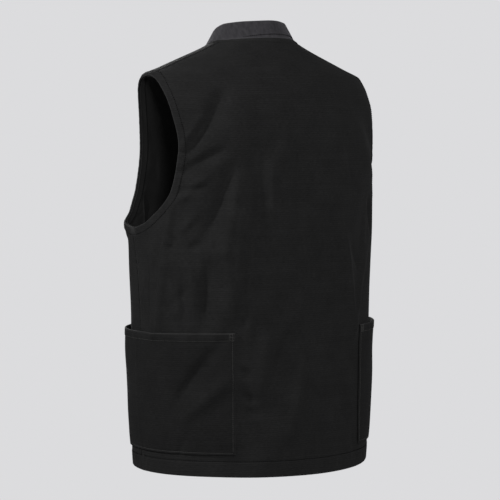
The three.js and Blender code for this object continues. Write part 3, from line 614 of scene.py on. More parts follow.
def duck_canvas(name, grey, wear_and_light_grey, pitch=0.9 * MM, pick_repeat=3.1 * MM):
    """Plain weave with thick filling yarns and uneven slubs. A point attribute mixes in a second grey: a
    chalky bloom where it rubs, a painted highlight on rolled edges, a painted shadow at the facing's fold.
    """
    n = Nodes(name)
    chart = n.add("ShaderNodeUVMap", uv_map="cloth").outputs["UV"]
    split = n.add("ShaderNodeSeparateXYZ")
    n.wire(chart, split.inputs[0])
    warp = n.math("SINE", n.math("MULTIPLY", split.outputs[0], 2 * np.pi / pitch))
    weft = n.math("SINE", n.math("MULTIPLY", split.outputs[1], 2 * np.pi / (pitch * 1.3)))
    checks = n.math("MULTIPLY", warp, weft)
    ribs = n.math("MULTIPLY", weft, 0.6)
    slubs = n.noise(n.stretched(chart, 170, 900), 1.0, 2.0, 0.6)
    lines = n.noise(n.stretched(chart, 8, 310), 1.0, 2.0, 0.5)
    mottle = n.noise(chart, 26.0, 4.0, 0.6)
    height = n.math("ADD", n.math("MULTIPLY", checks, 0.35), ribs)
    height = n.math("ADD", height, n.math("MULTIPLY", slubs, 1.6))
    height = n.math("ADD", height, n.math("MULTIPLY", lines, 1.6))
    n.bump(height, 0.55, 0.16 * MM)
    dull = tuple(v * 0.86 for v in grey)
    bright = tuple(v * 1.16 for v in grey)
    shade = n.ramp(mottle, [(0.3, dull), (0.72, bright)])
    streak = n.ramp(lines, [(0.3, 0.72), (0.7, 1.0)])
    shade = n.mix("MULTIPLY", 0.6, shade, streak)
    yarn = n.ramp(slubs, [(0.32, 0.55), (0.68, 1.0)])
    shade = n.mix("MULTIPLY", 0.8, shade, yarn)
    wander = n.math("MULTIPLY", n.noise(n.stretched(chart, 30, 60), 1.0, 2.0), 9.0)
    repeats = n.math("MULTIPLY", split.outputs[1], 2 * np.pi / pick_repeat)
    pick = n.math("SINE", n.math("ADD", repeats, wander))
    picks = n.ramp(n.math("MULTIPLY_ADD", pick, 0.5), [(0.1, 0.72), (0.9, 1.0)])
    shade = n.mix("MULTIPLY", 0.75, shade, picks)
    # The second grey mixed in here is wear, painted highlight and painted shadow.
    wear_and_painted_light = n.add("ShaderNodeAttribute", attribute_name="wear_and_painted_light").outputs["Fac"]
    wear_and_light_share = n.math("MULTIPLY", wear_and_painted_light, n.ramp(n.noise(chart, 900.0, 2.0), [(0.3, 0.35), (0.65, 1.0)]))
    shade = n.mix("MIX", wear_and_light_share, shade, (*wear_and_light_grey, 1))
    rough = n.ramp(slubs, [(0.3, 0.96), (0.7, 0.86)])
    n.surface({"Base Color": shade, "Roughness": rough, "Specular IOR Level": 0.12,
               "Sheen Weight": 0.02, "Sheen Roughness": 0.45, "Sheen Tint": (0.55, 0.55, 0.57, 1)})
    return n.material


black_canvas = duck_canvas("black_canvas", (0.0188, 0.0188, 0.0190), (0.045, 0.045, 0.045))

# Columns and rows are close together where the edges roll and the stitches sink in
edge_steps = np.array([
    0, 0.4, 0.8, 1.2, 1.7, 2.2, 3, 4.2, 5.8, 7.4,
    8.6, 9.2, 9.7, 10.2, 10.8, 11.4, 12, 12.8, 14, 16,
])
HALF_ROW = 0.245
edge_columns = 1 - edge_steps[::-1] * MM / HALF_ROW
columns = np.concatenate([np.linspace(0, edge_columns[0], 62)[:-1], edge_columns])
NECK_KNOT = columns[24]
hem_steps = MM * np.array([
    0, 0.4, 0.9, 1.5, 2.2, 3.2, 5, 8, 11, 14,
    17, 20, 22, 23, 23.6, 24.2, 24.8, 25.6, 27, 30,
])
open_heights = np.linspace(-ARMHOLE_DROP - 0.014, hem_steps[-1] - HEM_DROP, 106)[:-1]
row_heights = np.concatenate([open_heights, hem_steps[::-1] - HEM_DROP])


def panel_layers(is_back, side, centre=0.0):
    angle, z = panel_grid(is_back, armhole_turns, row_heights, columns, NECK_KNOT, centre=centre)
    plain = cloth(side * angle, z)
    relief, arm, hem, wear_and_painted_light = seam_relief(plain, side * angle, z, side, is_back)
    edge = np.minimum(rolled(arm, 1.8 * MM), rolled(hem, 2.2 * MM))
    thick = CLOTH + edge_bulk(arm) + HEM_EXTRA * (hem < HEM_TURN_UP)
    outer = cloth(side * angle, z, relief - thick / 2 * (1 - edge))
    inner = cloth(side * angle, z, -thick + thick / 2 * (1 - edge))
    return outer, inner, wear_and_painted_light, straight_grain(side * angle, z)


def both_halves(left, right):
    return np.concatenate([right[:, :0:-1], left], axis=1)


left_back = panel_layers(True, 1)
right_back = panel_layers(True, -1)
back_outer, back_inner, back_wear_and_highlight, back_chart = (both_halves(a, b) for a, b in zip(left_back, right_back))
canvas_back = shell("canvas_back", back_outer, back_inner, back_wear_and_highlight, chart=back_chart)
canvas_back.data.materials.append(black_canvas)
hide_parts("back_panel")

# Fronts
# Two canvas fronts, joined to the back at the shoulder and side seams and to the zip at the centre.
# They are cut like the back but scooped lower at the neck and deeper at the armholes.

ZIP_GAP = 0.006
for label, side in SIDES:
    front_outer, front_inner, front_wear_and_highlight, front_chart = panel_layers(False, side, ZIP_GAP / 2)
    front = shell(f"canvas_front_{label}", front_outer, front_inner, front_wear_and_highlight, chart=front_chart)
    front.data.materials.append(black_canvas)
    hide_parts(f"front_{label}_panel")

# Armhole facings
# A strip of the same canvas, sewn to each armhole's edge, turned to the inside and stitched flat.
# Its inner edge is folded under and covers the lining's raw edge; its near-black grey there is painted
# shadow.

FACING_WIDTH = 0.013
FACING_WALL = 0.0012
FACING_STAND = 3.2 * MM
# A lighter grey than the body's canvas: painted light on the facing's shaded inside face. Its second grey is
# near-black painted shadow.
facing_canvas_painted_light = duck_canvas("facing_canvas_painted_light", (0.034, 0.034, 0.034), (0.002, 0.002, 0.002))
for label, side in SIDES:
    ring_turns = np.linspace(0, 180, 100)
    strip_steps = np.array([0.3, 0.8, 1.5, 3, 5, 7, 9, 10.5, 11.5, 12.3, 12.8, 13]) * MM
    halves = []
    for turns, is_back in ((ring_turns[:-1], True), (ring_turns[:0:-1], False)):
        share = facing_share(turns, is_back)
        halves.append(np.stack([armhole_edge_out(turns, is_back, step * share) for step in strip_steps], -1))
    strip_angle, strip_z = np.concatenate(halves, axis=1)
    strip_angle = side * strip_angle
    lift = 2.4 * MM * (strip_steps / FACING_WIDTH)
    lift = lift + 0.25 * MM * groove(strip_steps, 11.5 * MM, 0.8 * MM)
    round_edge = rolled(np.minimum(strip_steps - 0.2 * MM, FACING_WIDTH + 0.1 * MM - strip_steps), 0.6 * MM)
    top = -CLOTH - edge_bulk(strip_steps) - 0.25 * MM - lift * 0.7
    thin = FACING_WALL / 2 * (1 - round_edge)
    ring = np.concatenate([0 * ring_turns[:-1], np.abs(np.sin(np.radians(ring_turns[:0:-1]))) ** 0.7])
    stand = FACING_STAND * ring[:, None] * (strip_steps / FACING_WIDTH)[None, :]
    facing_outer = cloth(strip_angle, strip_z, (top - FACING_WALL + thin)[None, :] - stand)
    facing_inner = cloth(strip_angle, strip_z, (top - thin)[None, :] - stand)
    # Near-black painted shadow along the folded inner edge.
    fold_painted_shadow = bell(strip_steps - 12.7 * MM, 1.1 * MM)[None, :] + 0 * strip_z
    facing = shell(f"canvas_facing_{label}", facing_outer, facing_inner, fold_painted_shadow, ring=True)
    facing.data.materials.append(facing_canvas_painted_light)
    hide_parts(f"armhole_facing_{label}")

# Lining
# Thin soft black cloth inside the body, cut a little roomier than the canvas, so it lies in soft
# folds of its own. It starts under the facings and is caught in the hem's turn-up.

LINING_WALL = 0.0009
LINING_NECK_INSET = 0.009
ZIP_TAPE_WIDTH = 0.026
LINING_EDGE = FACING_WIDTH - 0.0025
LINING_HANG = 4.4 * MM
LINING_TUCK = 4.1 * MM
LINING_STAND = 2.7 * MM
LINING_HALF_ROW = 0.22
lining_columns = np.linspace(0, 1, 46)
from_edge = (1 - lining_columns) * LINING_HALF_ROW
lining_turns = np.linspace(0, 180, 46)
lining_start = float(armhole_edge_out(np.array([180.0]), True, LINING_EDGE)[1][0]) - 0.016
lining_heights = np.linspace(lining_start, HEM_TURN_UP - HEM_DROP + 0.0005, 60)
# Folds: start angle and level, end angle and level, height and spread in millimetres
LINING_FOLDS = [
    (118, 1.25, 140, 1.5, 9.0, 9), (122, 1.45, 146, 1.62, -9.0, 9), (120, 1.62, 142, 1.68, 7.8, 7),
    (124, 1.75, 140, 1.95, -7.8, 9), (132, 1.2, 150, 1.3, -7.5, 10), (145, 1.7, 150, 2.2, 7.2, 12),
    (118, 1.95, 128, 2.3, 7.2, 12), (160, 1.5, 156, 2.4, -6.6, 14), (128, 1.5, 150, 1.9, 6.6, 8),
]


def lining_slack(angle, z):
    height = np.zeros(np.broadcast(angle, z).shape)
    for *ends, lift, spread in LINING_FOLDS:
        near, away = along_fold(np.abs(angle), z, ends, MEAN_RADIUS)
        rounded = np.sin(np.pi * np.clip(near, 0.12, 0.88))
        height += lift * MM * rounded * bell(away, spread * MM)
    for waves, speed, phase, size in ((7, 30, 0.3, 0.5), (12, -52, 1.9, 0.4), (19, 75, 3.7, 0.25)):
        height += size * MM * np.sin(np.radians(angle) * waves + z * speed + phase)
    return height


def soft_lining(name):
    n = Nodes(name)
    chart = n.add("ShaderNodeUVMap", uv_map="cloth").outputs["UV"]
    twill = n.add("ShaderNodeSeparateXYZ")
    n.wire(chart, twill.inputs[0])
    slant = n.math("ADD", twill.outputs[0], n.math("MULTIPLY", twill.outputs[1], 0.8))
    line = n.math("SINE", n.math("MULTIPLY", slant, 2 * np.pi / (0.8 * MM)))
    n.bump(line, 0.3, 0.08 * MM)
    tone = n.ramp(n.noise(chart, 30.0, 3.0), [(0.3, 0.008), (0.7, 0.0115)])
    n.surface({"Base Color": tone, "Roughness": 0.75, "Specular IOR Level": 0.25, "Sheen Weight": 0.03})
    return n.material


lining_black = soft_lining("lining_black")


def lining_layers(is_back, side, centre):
    angle, z = panel_grid(is_back, lining_turns, lining_heights, lining_columns, 0.42,
                          width=LINING_EDGE, inset=LINING_NECK_INSET, centre=centre)
    held = np.clip(from_edge / 0.03, 0, 1)[None, :]
    held = held * np.clip((z - lining_heights[-1]) / 0.03, 0, 1)
    top = -CLOTH - LINING_HANG + (lining_slack(side * angle, z) - 0.4 * MM) * held
    top = top + 1.6 * MM * (1 - np.clip((z - lining_heights[-1]) / 0.012, 0, 1))
    top = top + LINING_TUCK * bell(from_edge, 0.006)[None, :]
    if not is_back:
        beside = np.concatenate([np.abs(np.sin(np.radians(lining_turns))) ** 0.7, 0 * lining_heights])
        top = top - LINING_STAND * beside[:, None] * bell(from_edge, 0.05)[None, :]
    return cloth(side * angle, z, top - LINING_WALL), cloth(side * angle, z, top)


left_lining = lining_layers(True, 1, 0.0)
right_lining = lining_layers(True, -1, 0.0)
lining_pair = [both_halves(a, b) for a, b in zip(left_lining, right_lining)]
lining = shell("lining_cloth_back", *lining_pair)
lining.data.materials.append(lining_black)
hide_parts("lining_back")
for label, side in SIDES:
    lining_pair = lining_layers(False, side, ZIP_TAPE_WIDTH / 2 + 0.0004)
    lining = shell(f"lining_cloth_front_{label}", *lining_pair)
    lining.data.materials.append(lining_black)
    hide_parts(f"lining_front_{label}")

# Patch pockets
# A wide canvas patch round each side seam, turned under at the sides and bottom and edge stitched.
# The mouth is a folded hem that stands off the body, with a bartack at each end.

POCKET_BACK_ANGLE = 35.3
POCKET_FRONT_ANGLE = 146
POCKET_SPAN = POCKET_FRONT_ANGLE - POCKET_BACK_ANGLE
POCKET_TOP = -0.447
POCKET_HEIGHT = 0.185
POCKET_HEM = 0.013
POCKET_STAND = 0.008
POCKET_GAP = 0.0009
POCKET_WALL = 0.0019
POCKET_WIDTH = 0.335
SIDE_STITCH = 4.0 * MM
BOTTOM_STITCH = 3.4 * MM
HEM_STITCH = 11.8 * MM
# A darker grey than the body's canvas.
pocket_canvas = duck_canvas("pocket_canvas", (0.0150, 0.0150, 0.0152), (0.045, 0.045, 0.045))
near_steps = np.array([0, 0.35, 0.8, 1.4, 2.2, 3.0, 3.6, 4.1, 4.6, 5.4, 7, 9.5])


def pocket_gap(angle, z):
    across = np.clip((np.abs(angle) - POCKET_BACK_ANGLE) / POCKET_SPAN, 0, 1)
    up = np.clip((z - POCKET_TOP + POCKET_HEIGHT) / POCKET_HEIGHT, 0, 1)
    return POCKET_GAP + POCKET_STAND * np.sin(np.pi * across) ** 0.8 * np.sin(up * np.pi / 2)


def pocket_top_offset(angle, z):
    """The pocket's outer face above the panels, and its distances from the sides, bottom and mouth."""
    share = (np.abs(angle) - POCKET_BACK_ANGLE) / POCKET_SPAN
    sides = np.minimum(share, 1 - share) * POCKET_WIDTH
    bottom = z - POCKET_TOP + POCKET_HEIGHT
    mouth = POCKET_TOP - z
    along = share * POCKET_WIDTH
    relief = 0.8 * MM * np.clip((POCKET_HEM - mouth) / (1.2 * MM), 0, 1)
    relief = relief - 0.45 * MM * groove(mouth, HEM_STITCH)
    relief = relief - 0.4 * MM * groove(sides, SIDE_STITCH) - 0.4 * MM * groove(bottom, BOTTOM_STITCH)
    relief = relief + 0.3 * MM * ripple(along, 13 * MM, 61) * bell(mouth - 9 * MM, 9 * MM)
    relief = relief + 0.22 * MM * ripple(bottom, 12 * MM, 62) * bell(sides, 9 * MM)
    relief = relief + 0.22 * MM * ripple(along, 12 * MM, 63) * bell(bottom, 9 * MM)
    seam = (np.abs(angle) - seam_angle(-z)) * np.radians(1) * 0.2
    relief = relief + 0.7 * MM * bell(seam + 5 * MM, 3 * MM)
    sag = np.sin(np.pi * np.clip(share, 0, 1)) * np.sin(np.pi * np.clip(bottom / POCKET_HEIGHT, 0, 1))
    relief = relief + 0.9 * MM * sag * np.sin(share * 17 + z * 40 + 0.8)
    relief = relief + 0.5 * MM * sag * np.sin(share * 31 - z * 70 + 2.2)
    return pocket_gap(angle, z) + POCKET_WALL + relief, sides, bottom, mouth


for label, side in SIDES:
    ends = near_steps * MM / POCKET_WIDTH
    across = np.concatenate([ends, np.linspace(0.034, 0.966, 96), 1 - ends[::-1]])
    low = np.concatenate([near_steps * MM, np.linspace(0.0125, POCKET_HEIGHT - 0.0155, 56)])
    mouth_steps = np.array([14.3, 13.6, 13, 12.4, 11.8, 11.2, 10, 8, 6, 4, 2.6, 1.6, 0.9, 0.4, 0])
    up = np.concatenate([low, POCKET_HEIGHT - mouth_steps * MM])[::-1]
    angle = POCKET_BACK_ANGLE + POCKET_SPAN * across[None, :]
    angle = side * np.repeat(angle, len(up), 0)
    z = np.repeat((POCKET_TOP - POCKET_HEIGHT + up)[:, None], len(across), 1)
    top, sides, bottom, mouth = pocket_top_offset(angle, z)
    edge = np.minimum(rolled(np.minimum(sides, bottom), 1.0 * MM), rolled(mouth, 1.6 * MM))
    under = pocket_gap(angle, z)
    bulk = (top - under) / 2 * (1 - edge)
    # The pale mouth edge is partly wear and partly a painted highlight; the sides and bottom are wear.
    wear_and_painted_light = 0.65 * bell(mouth, 1.5 * MM) + 0.12 * bell(sides, 1.5 * MM)
    wear_and_painted_light = wear_and_painted_light + 0.15 * bell(bottom, 1.5 * MM) + 0.06 * bell(mouth, 14 * MM)
    pocket_outer = cloth(angle, z, top - bulk)
    pocket_inner = cloth(angle, z, under + bulk)
    pocket = shell(f"canvas_pocket_{label}", pocket_outer, pocket_inner, np.clip(wear_and_painted_light, 0, 1),
                   chart=straight_grain(angle, z))
    pocket.data.materials.append(pocket_canvas)
    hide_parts(f"pocket_{label}")

# Stand collar
# A doubled band of charcoal corded cloth, its fine cords upright, folded at the top edge and sewn
# into the neckline. It leans in towards the neck and is open at the zip.

COLLAR_HEIGHT = 0.0285
COLLAR_WALL = 0.003
COLLAR_TOP_SHARE = 0.78
COLLAR_AXIS_Y = -0.010
COLLAR_GAP = 0.0005
CORD_PITCH = 0.0021
COLLAR_GIRTH = 0.42


def collar_point(turn, up, offset=0.0):
    """A point of the collar's outer face. turn: 0 at the centre back, 180 at the centre front."""
    def cut_line(turn, up):
        x = NECK_HALF_WIDTH * np.abs(np.sin(np.radians(turn)))
        heights = [top_height(x * JUST_INSIDE, is_back) for is_back in (True, False)]
        angles = [neckline_angle(x, z, is_back) for z, is_back in zip(heights, (True, False))]
        is_back = np.abs(turn) <= 90
        base = cloth(np.sign(turn) * np.where(is_back, *angles), np.where(is_back, *heights))
        share = 1 - COLLAR_GAP / NECK_HALF_WIDTH
        share = share + (COLLAR_TOP_SHARE - share) * up
        y = COLLAR_AXIS_Y + (base[..., 1] - COLLAR_AXIS_Y) * share
        return np.stack([base[..., 0] * share, y, base[..., 2] + COLLAR_GAP + COLLAR_HEIGHT * up], -1)

    def place(turn, up):
        steps = ((-10, 1), (-5, 2), (0, 3), (5, 2), (10, 1))
        eased = sum(cut_line(turn + step, up) * part for step, part in steps) / 9
        near_seam = bell(np.abs(turn) - 90, 16)[..., None]
        return cut_line(turn, up) * (1 - near_seam) + eased * near_seam

    around = place(turn + 2.5, up * 0 + 0.5) - place(turn - 2.5, up * 0 + 0.5)
    rise = place(turn, up * 0 + 1.0) - place(turn, up * 0)
    return place(turn, up) + unit(np.cross(rise, around)) * np.asarray(offset)[..., None]


collar_end = 180 - np.degrees(np.arcsin(ZIP_GAP / 2 / NECK_HALF_WIDTH))
cord_count = int(COLLAR_GIRTH / CORD_PITCH)
collar_turn = np.linspace(-collar_end, collar_end, cord_count * 6 + 1)
collar_up = np.array([0, 0.03, 0.1, 0.2, 0.32, 0.44, 0.56, 0.68, 0.8, 0.88, 0.93, 0.965, 0.985, 1.0])
turn_grid, up_grid = np.meshgrid(collar_turn, collar_up)
cords = np.abs(np.sin(np.pi * np.arange(len(collar_turn)) / 6))[None, :] ** 0.7
edge = rolled((1 - up_grid) * COLLAR_HEIGHT, 1.5 * MM)
edge = np.minimum(edge, rolled(up_grid * COLLAR_HEIGHT + 0.8 * MM, 1.0 * MM))
end_away = (collar_end - np.abs(turn_grid)) * np.radians(1) * NECK_HALF_WIDTH
edge = np.minimum(edge, rolled(end_away, 1.3 * MM))
cord_lift = 0.24 * MM * (cords - 1) * np.clip(edge * 1.4, 0, 1)
swell = 0.5 * MM * np.sin(np.radians(turn_grid) * 6 + up_grid * 2.2) * up_grid
thinner = COLLAR_WALL / 2 * (1 - edge)
collar_outer = collar_point(turn_grid, up_grid, cord_lift + swell - thinner)
collar_inner = collar_point(turn_grid, up_grid, swell - cord_lift - COLLAR_WALL + thinner)
collar_wear = 0.8 * bell(1 - up_grid, 0.0645) + 0.5 * bell(up_grid, 0.0806)


def corded_cloth(name):
    """Cut-pile cords, brushed: darker between the cords and blotchy where the pile lies over."""
    n = Nodes(name)
    chart = n.add("ShaderNodeUVMap", uv_map="cloth").outputs["UV"]
    pile = n.noise(n.stretched(chart, 1.0, 0.6), 1400.0, 3.0, 0.7)
    brushed = n.noise(n.stretched(chart, 1.0, 0.55), 170.0, 4.0, 0.6)
    shade = n.ramp(brushed, [(0.30, (0.027, 0.026, 0.029)), (0.70, (0.050, 0.048, 0.053))])
    shade = n.mix("MULTIPLY", 0.8, shade, n.ramp(pile, [(0.3, 0.55), (0.7, 1.0)]))
    wear_and_painted_light = n.add("ShaderNodeAttribute", attribute_name="wear_and_painted_light").outputs["Fac"]
    shade = n.mix("MIX", n.math("MULTIPLY", wear_and_painted_light, 0.5), shade, (0.085, 0.083, 0.088, 1))
    n.bump(pile, 0.6, 0.15 * MM)
    n.surface({"Base Color": shade, "Roughness": 0.95, "Specular IOR Level": 0.15,
               "Sheen Weight": 0.35, "Sheen Roughness": 0.4, "Sheen Tint": (0.6, 0.59, 0.64, 1)})
    return n.material


charcoal_cords = corded_cloth("charcoal_cords")
collar = shell("corded_collar", collar_outer, collar_inner, np.clip(collar_wear, 0, 1))
collar.data.materials.append(charcoal_cords)
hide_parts("collar_stand")

# Front zip
# A dark metal zip closes the fronts and the collar: two cloth tapes behind, the meshed teeth
# between the canvas edges, and a slider with a plain pull tab parked at the top.

ZIP_TAPE_WALL = 0.0011
TAPE_GAP = 0.00045
TOOTH_PITCH = 0.0025


def zip_face(height, x, offset):
    """A point on the centre front: height is how far up from the hem, measured along the closure."""
    flat = np.broadcast(height, x).shape
    height = np.broadcast_to(height, flat)
    x = np.broadcast_to(x, flat)
    body_top = HEM_DROP - FRONT_NECK_DROP
    z = np.minimum(height, body_top) - HEM_DROP
    angle = np.sign(x + 1e-9) * (180 - angle_at_width(np.abs(x), z, square_front(-z)))
    body = cloth(angle, z, offset)
    turn = np.sign(x + 1e-9) * (180 - np.degrees(np.arcsin(np.abs(x) / NECK_HALF_WIDTH)))
    up = np.clip((height - body_top) / COLLAR_HEIGHT, 0, 1)
    band = collar_point(turn, up, np.asarray(offset) - 0.4 * MM)
    share = np.clip((height - body_top + 0.006) / 0.012, 0, 1)[..., None]
    return body * (1 - share) + band * share


ZIP_TOP = HEM_DROP - FRONT_NECK_DROP + COLLAR_HEIGHT - 0.003
heights = np.linspace(ZIP_TOP, 0.005, 150)[:, None]
tape_x = np.linspace(-ZIP_TAPE_WIDTH / 2, ZIP_TAPE_WIDTH / 2, 15)[None, :]
in_collar = heights > HEM_DROP - FRONT_NECK_DROP - 0.01
deeper = HEM_EXTRA * (heights < HEM_TURN_UP + 0.001) + 0.0007 * in_collar
tape_front = zip_face(heights, tape_x, -CLOTH - TAPE_GAP - deeper)
tape_back = zip_face(heights, tape_x, -CLOTH - TAPE_GAP - ZIP_TAPE_WALL - deeper)
tape = shell("zip_tape", tape_front, tape_back)
tape.data.materials.append(black_canvas)
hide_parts("front_zip")


def zip_metal(name):
    n = Nodes(name)
    place = n.add("ShaderNodeTexCoord").outputs["Object"]
    grime = n.noise(place, 900.0, 3.0, 0.6)
    tone = n.ramp(grime, [(0.35, (0.035, 0.034, 0.033)), (0.7, (0.11, 0.105, 0.10))])
    rough = n.ramp(grime, [(0.3, 0.55), (0.7, 0.32)])
    n.surface({"Base Color": tone, "Roughness": rough, "Metallic": 1.0})
    return n.material


dark_metal = zip_metal("dark_metal")


def solid_piece(name, points, faces, material):
    mesh = bpy.data.meshes.new(name)
    mesh.from_pydata([tuple(point) for point in points], [], faces)
    piece = add_piece(name, mesh)
    piece.data.materials.append(material)
    return piece


BOX_FACES = [(0, 1, 3, 2), (4, 6, 7, 5), (0, 4, 5, 1), (2, 3, 7, 6), (0, 2, 6, 4), (1, 5, 7, 3)]
tooth_heights = np.arange(0.008, ZIP_TOP - 0.004, TOOTH_PITCH)
corner_runs = []
for hand in (-1, 1):
    for dx in (-0.5 * hand, 2.3 * hand):
        for dz in (-0.62, 0.62):
            for depth in (-CLOTH - 0.0002, -0.0005):
                taper = 0.75 if dx * hand < 0 else 1.0
                middle = tooth_heights + (TOOTH_PITCH / 2 if hand > 0 else 0) + dz * taper * MM
                corner_runs.append(zip_face(middle, dx * MM, depth))
tooth_points = np.stack(corner_runs, 1).reshape(-1, 3)
tooth_faces = []
for i in range(len(tooth_heights) * 2):
    faces = [tuple(i * 8 + k for k in face) for face in BOX_FACES]
    tooth_faces += faces if i % 2 else [face[::-1] for face in faces]
teeth = solid_piece("zip_teeth", tooth_points, tooth_faces, dark_metal)
softened = teeth.modifiers.new("edge", "BEVEL")
softened.width = 0.00018
softened.segments = 1

slider_height = ZIP_TOP - 0.010


def slab(width, tall, low, high, centre, taper=1.0):
    """A flat block on the closure: corners in height, width and depth."""
    spots = []
    for depth in (low, high):
        for dx, dz in ((-0.5, -0.5), (0.5, -0.5), (0.5 * taper, 0.5), (-0.5 * taper, 0.5)):
            spots.append(tuple(zip_face(centre + dz * tall, dx * width, depth)))
    return spots, [(0, 3, 2, 1), (4, 5, 6, 7), (0, 1, 5, 4), (1, 2, 6, 5), (2, 3, 7, 6), (3, 0, 4, 7)]


for name, parts in {
    "zip_slider": [(0.0085, 0.0105, -0.0004, 0.0014, slider_height, 0.8),
                   (0.0025, 0.007, 0.0014, 0.0030, slider_height, 1)],
    "zip_pull": [(0.0045, 0.007, 0.0018, 0.0030, slider_height - 0.007, 1.0),
                 (0.0075, 0.022, 0.0016, 0.0030, slider_height - 0.021, 0.75)],
}.items():
    points = []
    faces = []
    for part in parts:
        spots, sides = slab(*part)
        faces += [tuple(k + len(points) for k in face) for face in sides]
        points += spots
    piece = solid_piece(name, points, faces, dark_metal)
    round_edges = piece.modifiers.new("edge", "BEVEL")
    round_edges.width = 0.0005
    round_edges.segments = 3

# Topstitching
# Lockstitches of thick polyester thread. Each stitch is a short rounded length of thread that dives
# into the cloth at both ends. On the pockets the thread's light grey is partly its own and partly a
# painted highlight; elsewhere its near-black grey is painted shade of the needle holes it sinks into.


def thread_finish(name, grey, gloss):
    n = Nodes(name)
    place = n.add("ShaderNodeTexCoord").outputs["Object"]
    tone = n.noise(place, 1500.0, 2.0)
    shade = n.ramp(tone, [(0.3, tuple(v * 0.7 for v in grey)), (0.7, grey)])
    twist = n.noise(n.stretched(place, 3000, 3000), 1.0, 1.0)
    n.bump(twist, 0.4, 0.05 * MM)
    n.surface({"Base Color": shade, "Roughness": 0.6, "Specular IOR Level": gloss})
    return n.material


# Light grey, partly a painted highlight.
pocket_thread_and_highlight = thread_finish("pocket_thread_and_highlight", (0.060, 0.060, 0.058), 0.3)
# Near-black: painted shade of the needle holes.
body_thread_painted_shade = thread_finish("body_thread_painted_shade", (0.0022, 0.0022, 0.0022), 0.02)


def read_along(places, along, rows):
    return np.stack([np.interp(places, along, rows[:, k]) for k in range(3)], 1)


def stitch_line(name, lines, material, pitch=3.0 * MM, length=2.3 * MM, thick=0.62 * MM):
    """Stitches along lines of points with their outward directions."""
    ring = np.radians(np.arange(6) * 60)
    # Five rings along a stitch: place along it, share of its thickness, height
    stations = [(-0.5, 0.35, -0.6), (-0.28, 0.9, 0.1), (0.0, 1.0, 0.35), (0.28, 0.9, 0.1), (0.5, 0.35, -0.6)]
    run, size, rise = np.array(stations).T[:, None, :, None, None]
    reach_side = np.cos(ring)[None, None, :, None]
    reach_up = np.sin(ring)[None, None, :, None]
    tubes = []
    for line, out in lines:
        along = lengths_along(line)
        places = np.arange(pitch / 2, along[-1] - pitch / 3, pitch)
        spots = read_along(places, along, line)
        ahead = read_along(places + 0.4 * MM, along, line)
        lifts = unit(read_along(places, along, out))
        ways = unit(ahead - spots + 1e-9)
        beside = np.cross(lifts, ways)[:, None, None, :]
        way, lift = ways[:, None, None, :], lifts[:, None, None, :]
        middle = spots[:, None, None, :] + way * run * length + lift * rise * thick / 2
        tubes.append(middle + (reach_side * beside + reach_up * lift) * size * thick / 2)
    points = np.concatenate(tubes).reshape(-1, 3)
    count = len(points) // 30
    quads = []
    for first in range(0, 24, 6):
        for k in range(6):
            after = (k + 1) % 6
            quads.append((first + k, first + after, first + after + 6, first + k + 6))
    starts = (np.arange(count) * 30)[:, None, None]
    faces = (starts + np.array(quads)[None]).reshape(-1, 4).tolist()
    caps = np.array([[5, 4, 3, 2, 1, 0], [24, 25, 26, 27, 28, 29]])
    faces += (starts + caps[None]).reshape(-1, 6).tolist()
    piece = solid_piece(name, points, faces, material)
    piece.data.polygons.foreach_set("use_smooth", [True] * len(faces))
    return piece


INNER_STITCH_STAND = 2.8 * MM


def on_cloth(angle, z, offset):
    return cloth(angle, z, offset), outward(angle, z)


def on_pocket(side, share, heights, lift):
    angle = side * (POCKET_BACK_ANGLE + POCKET_SPAN * share) * np.ones(len(heights))
    return on_cloth(angle, heights, pocket_top_offset(angle, heights)[0] + lift)


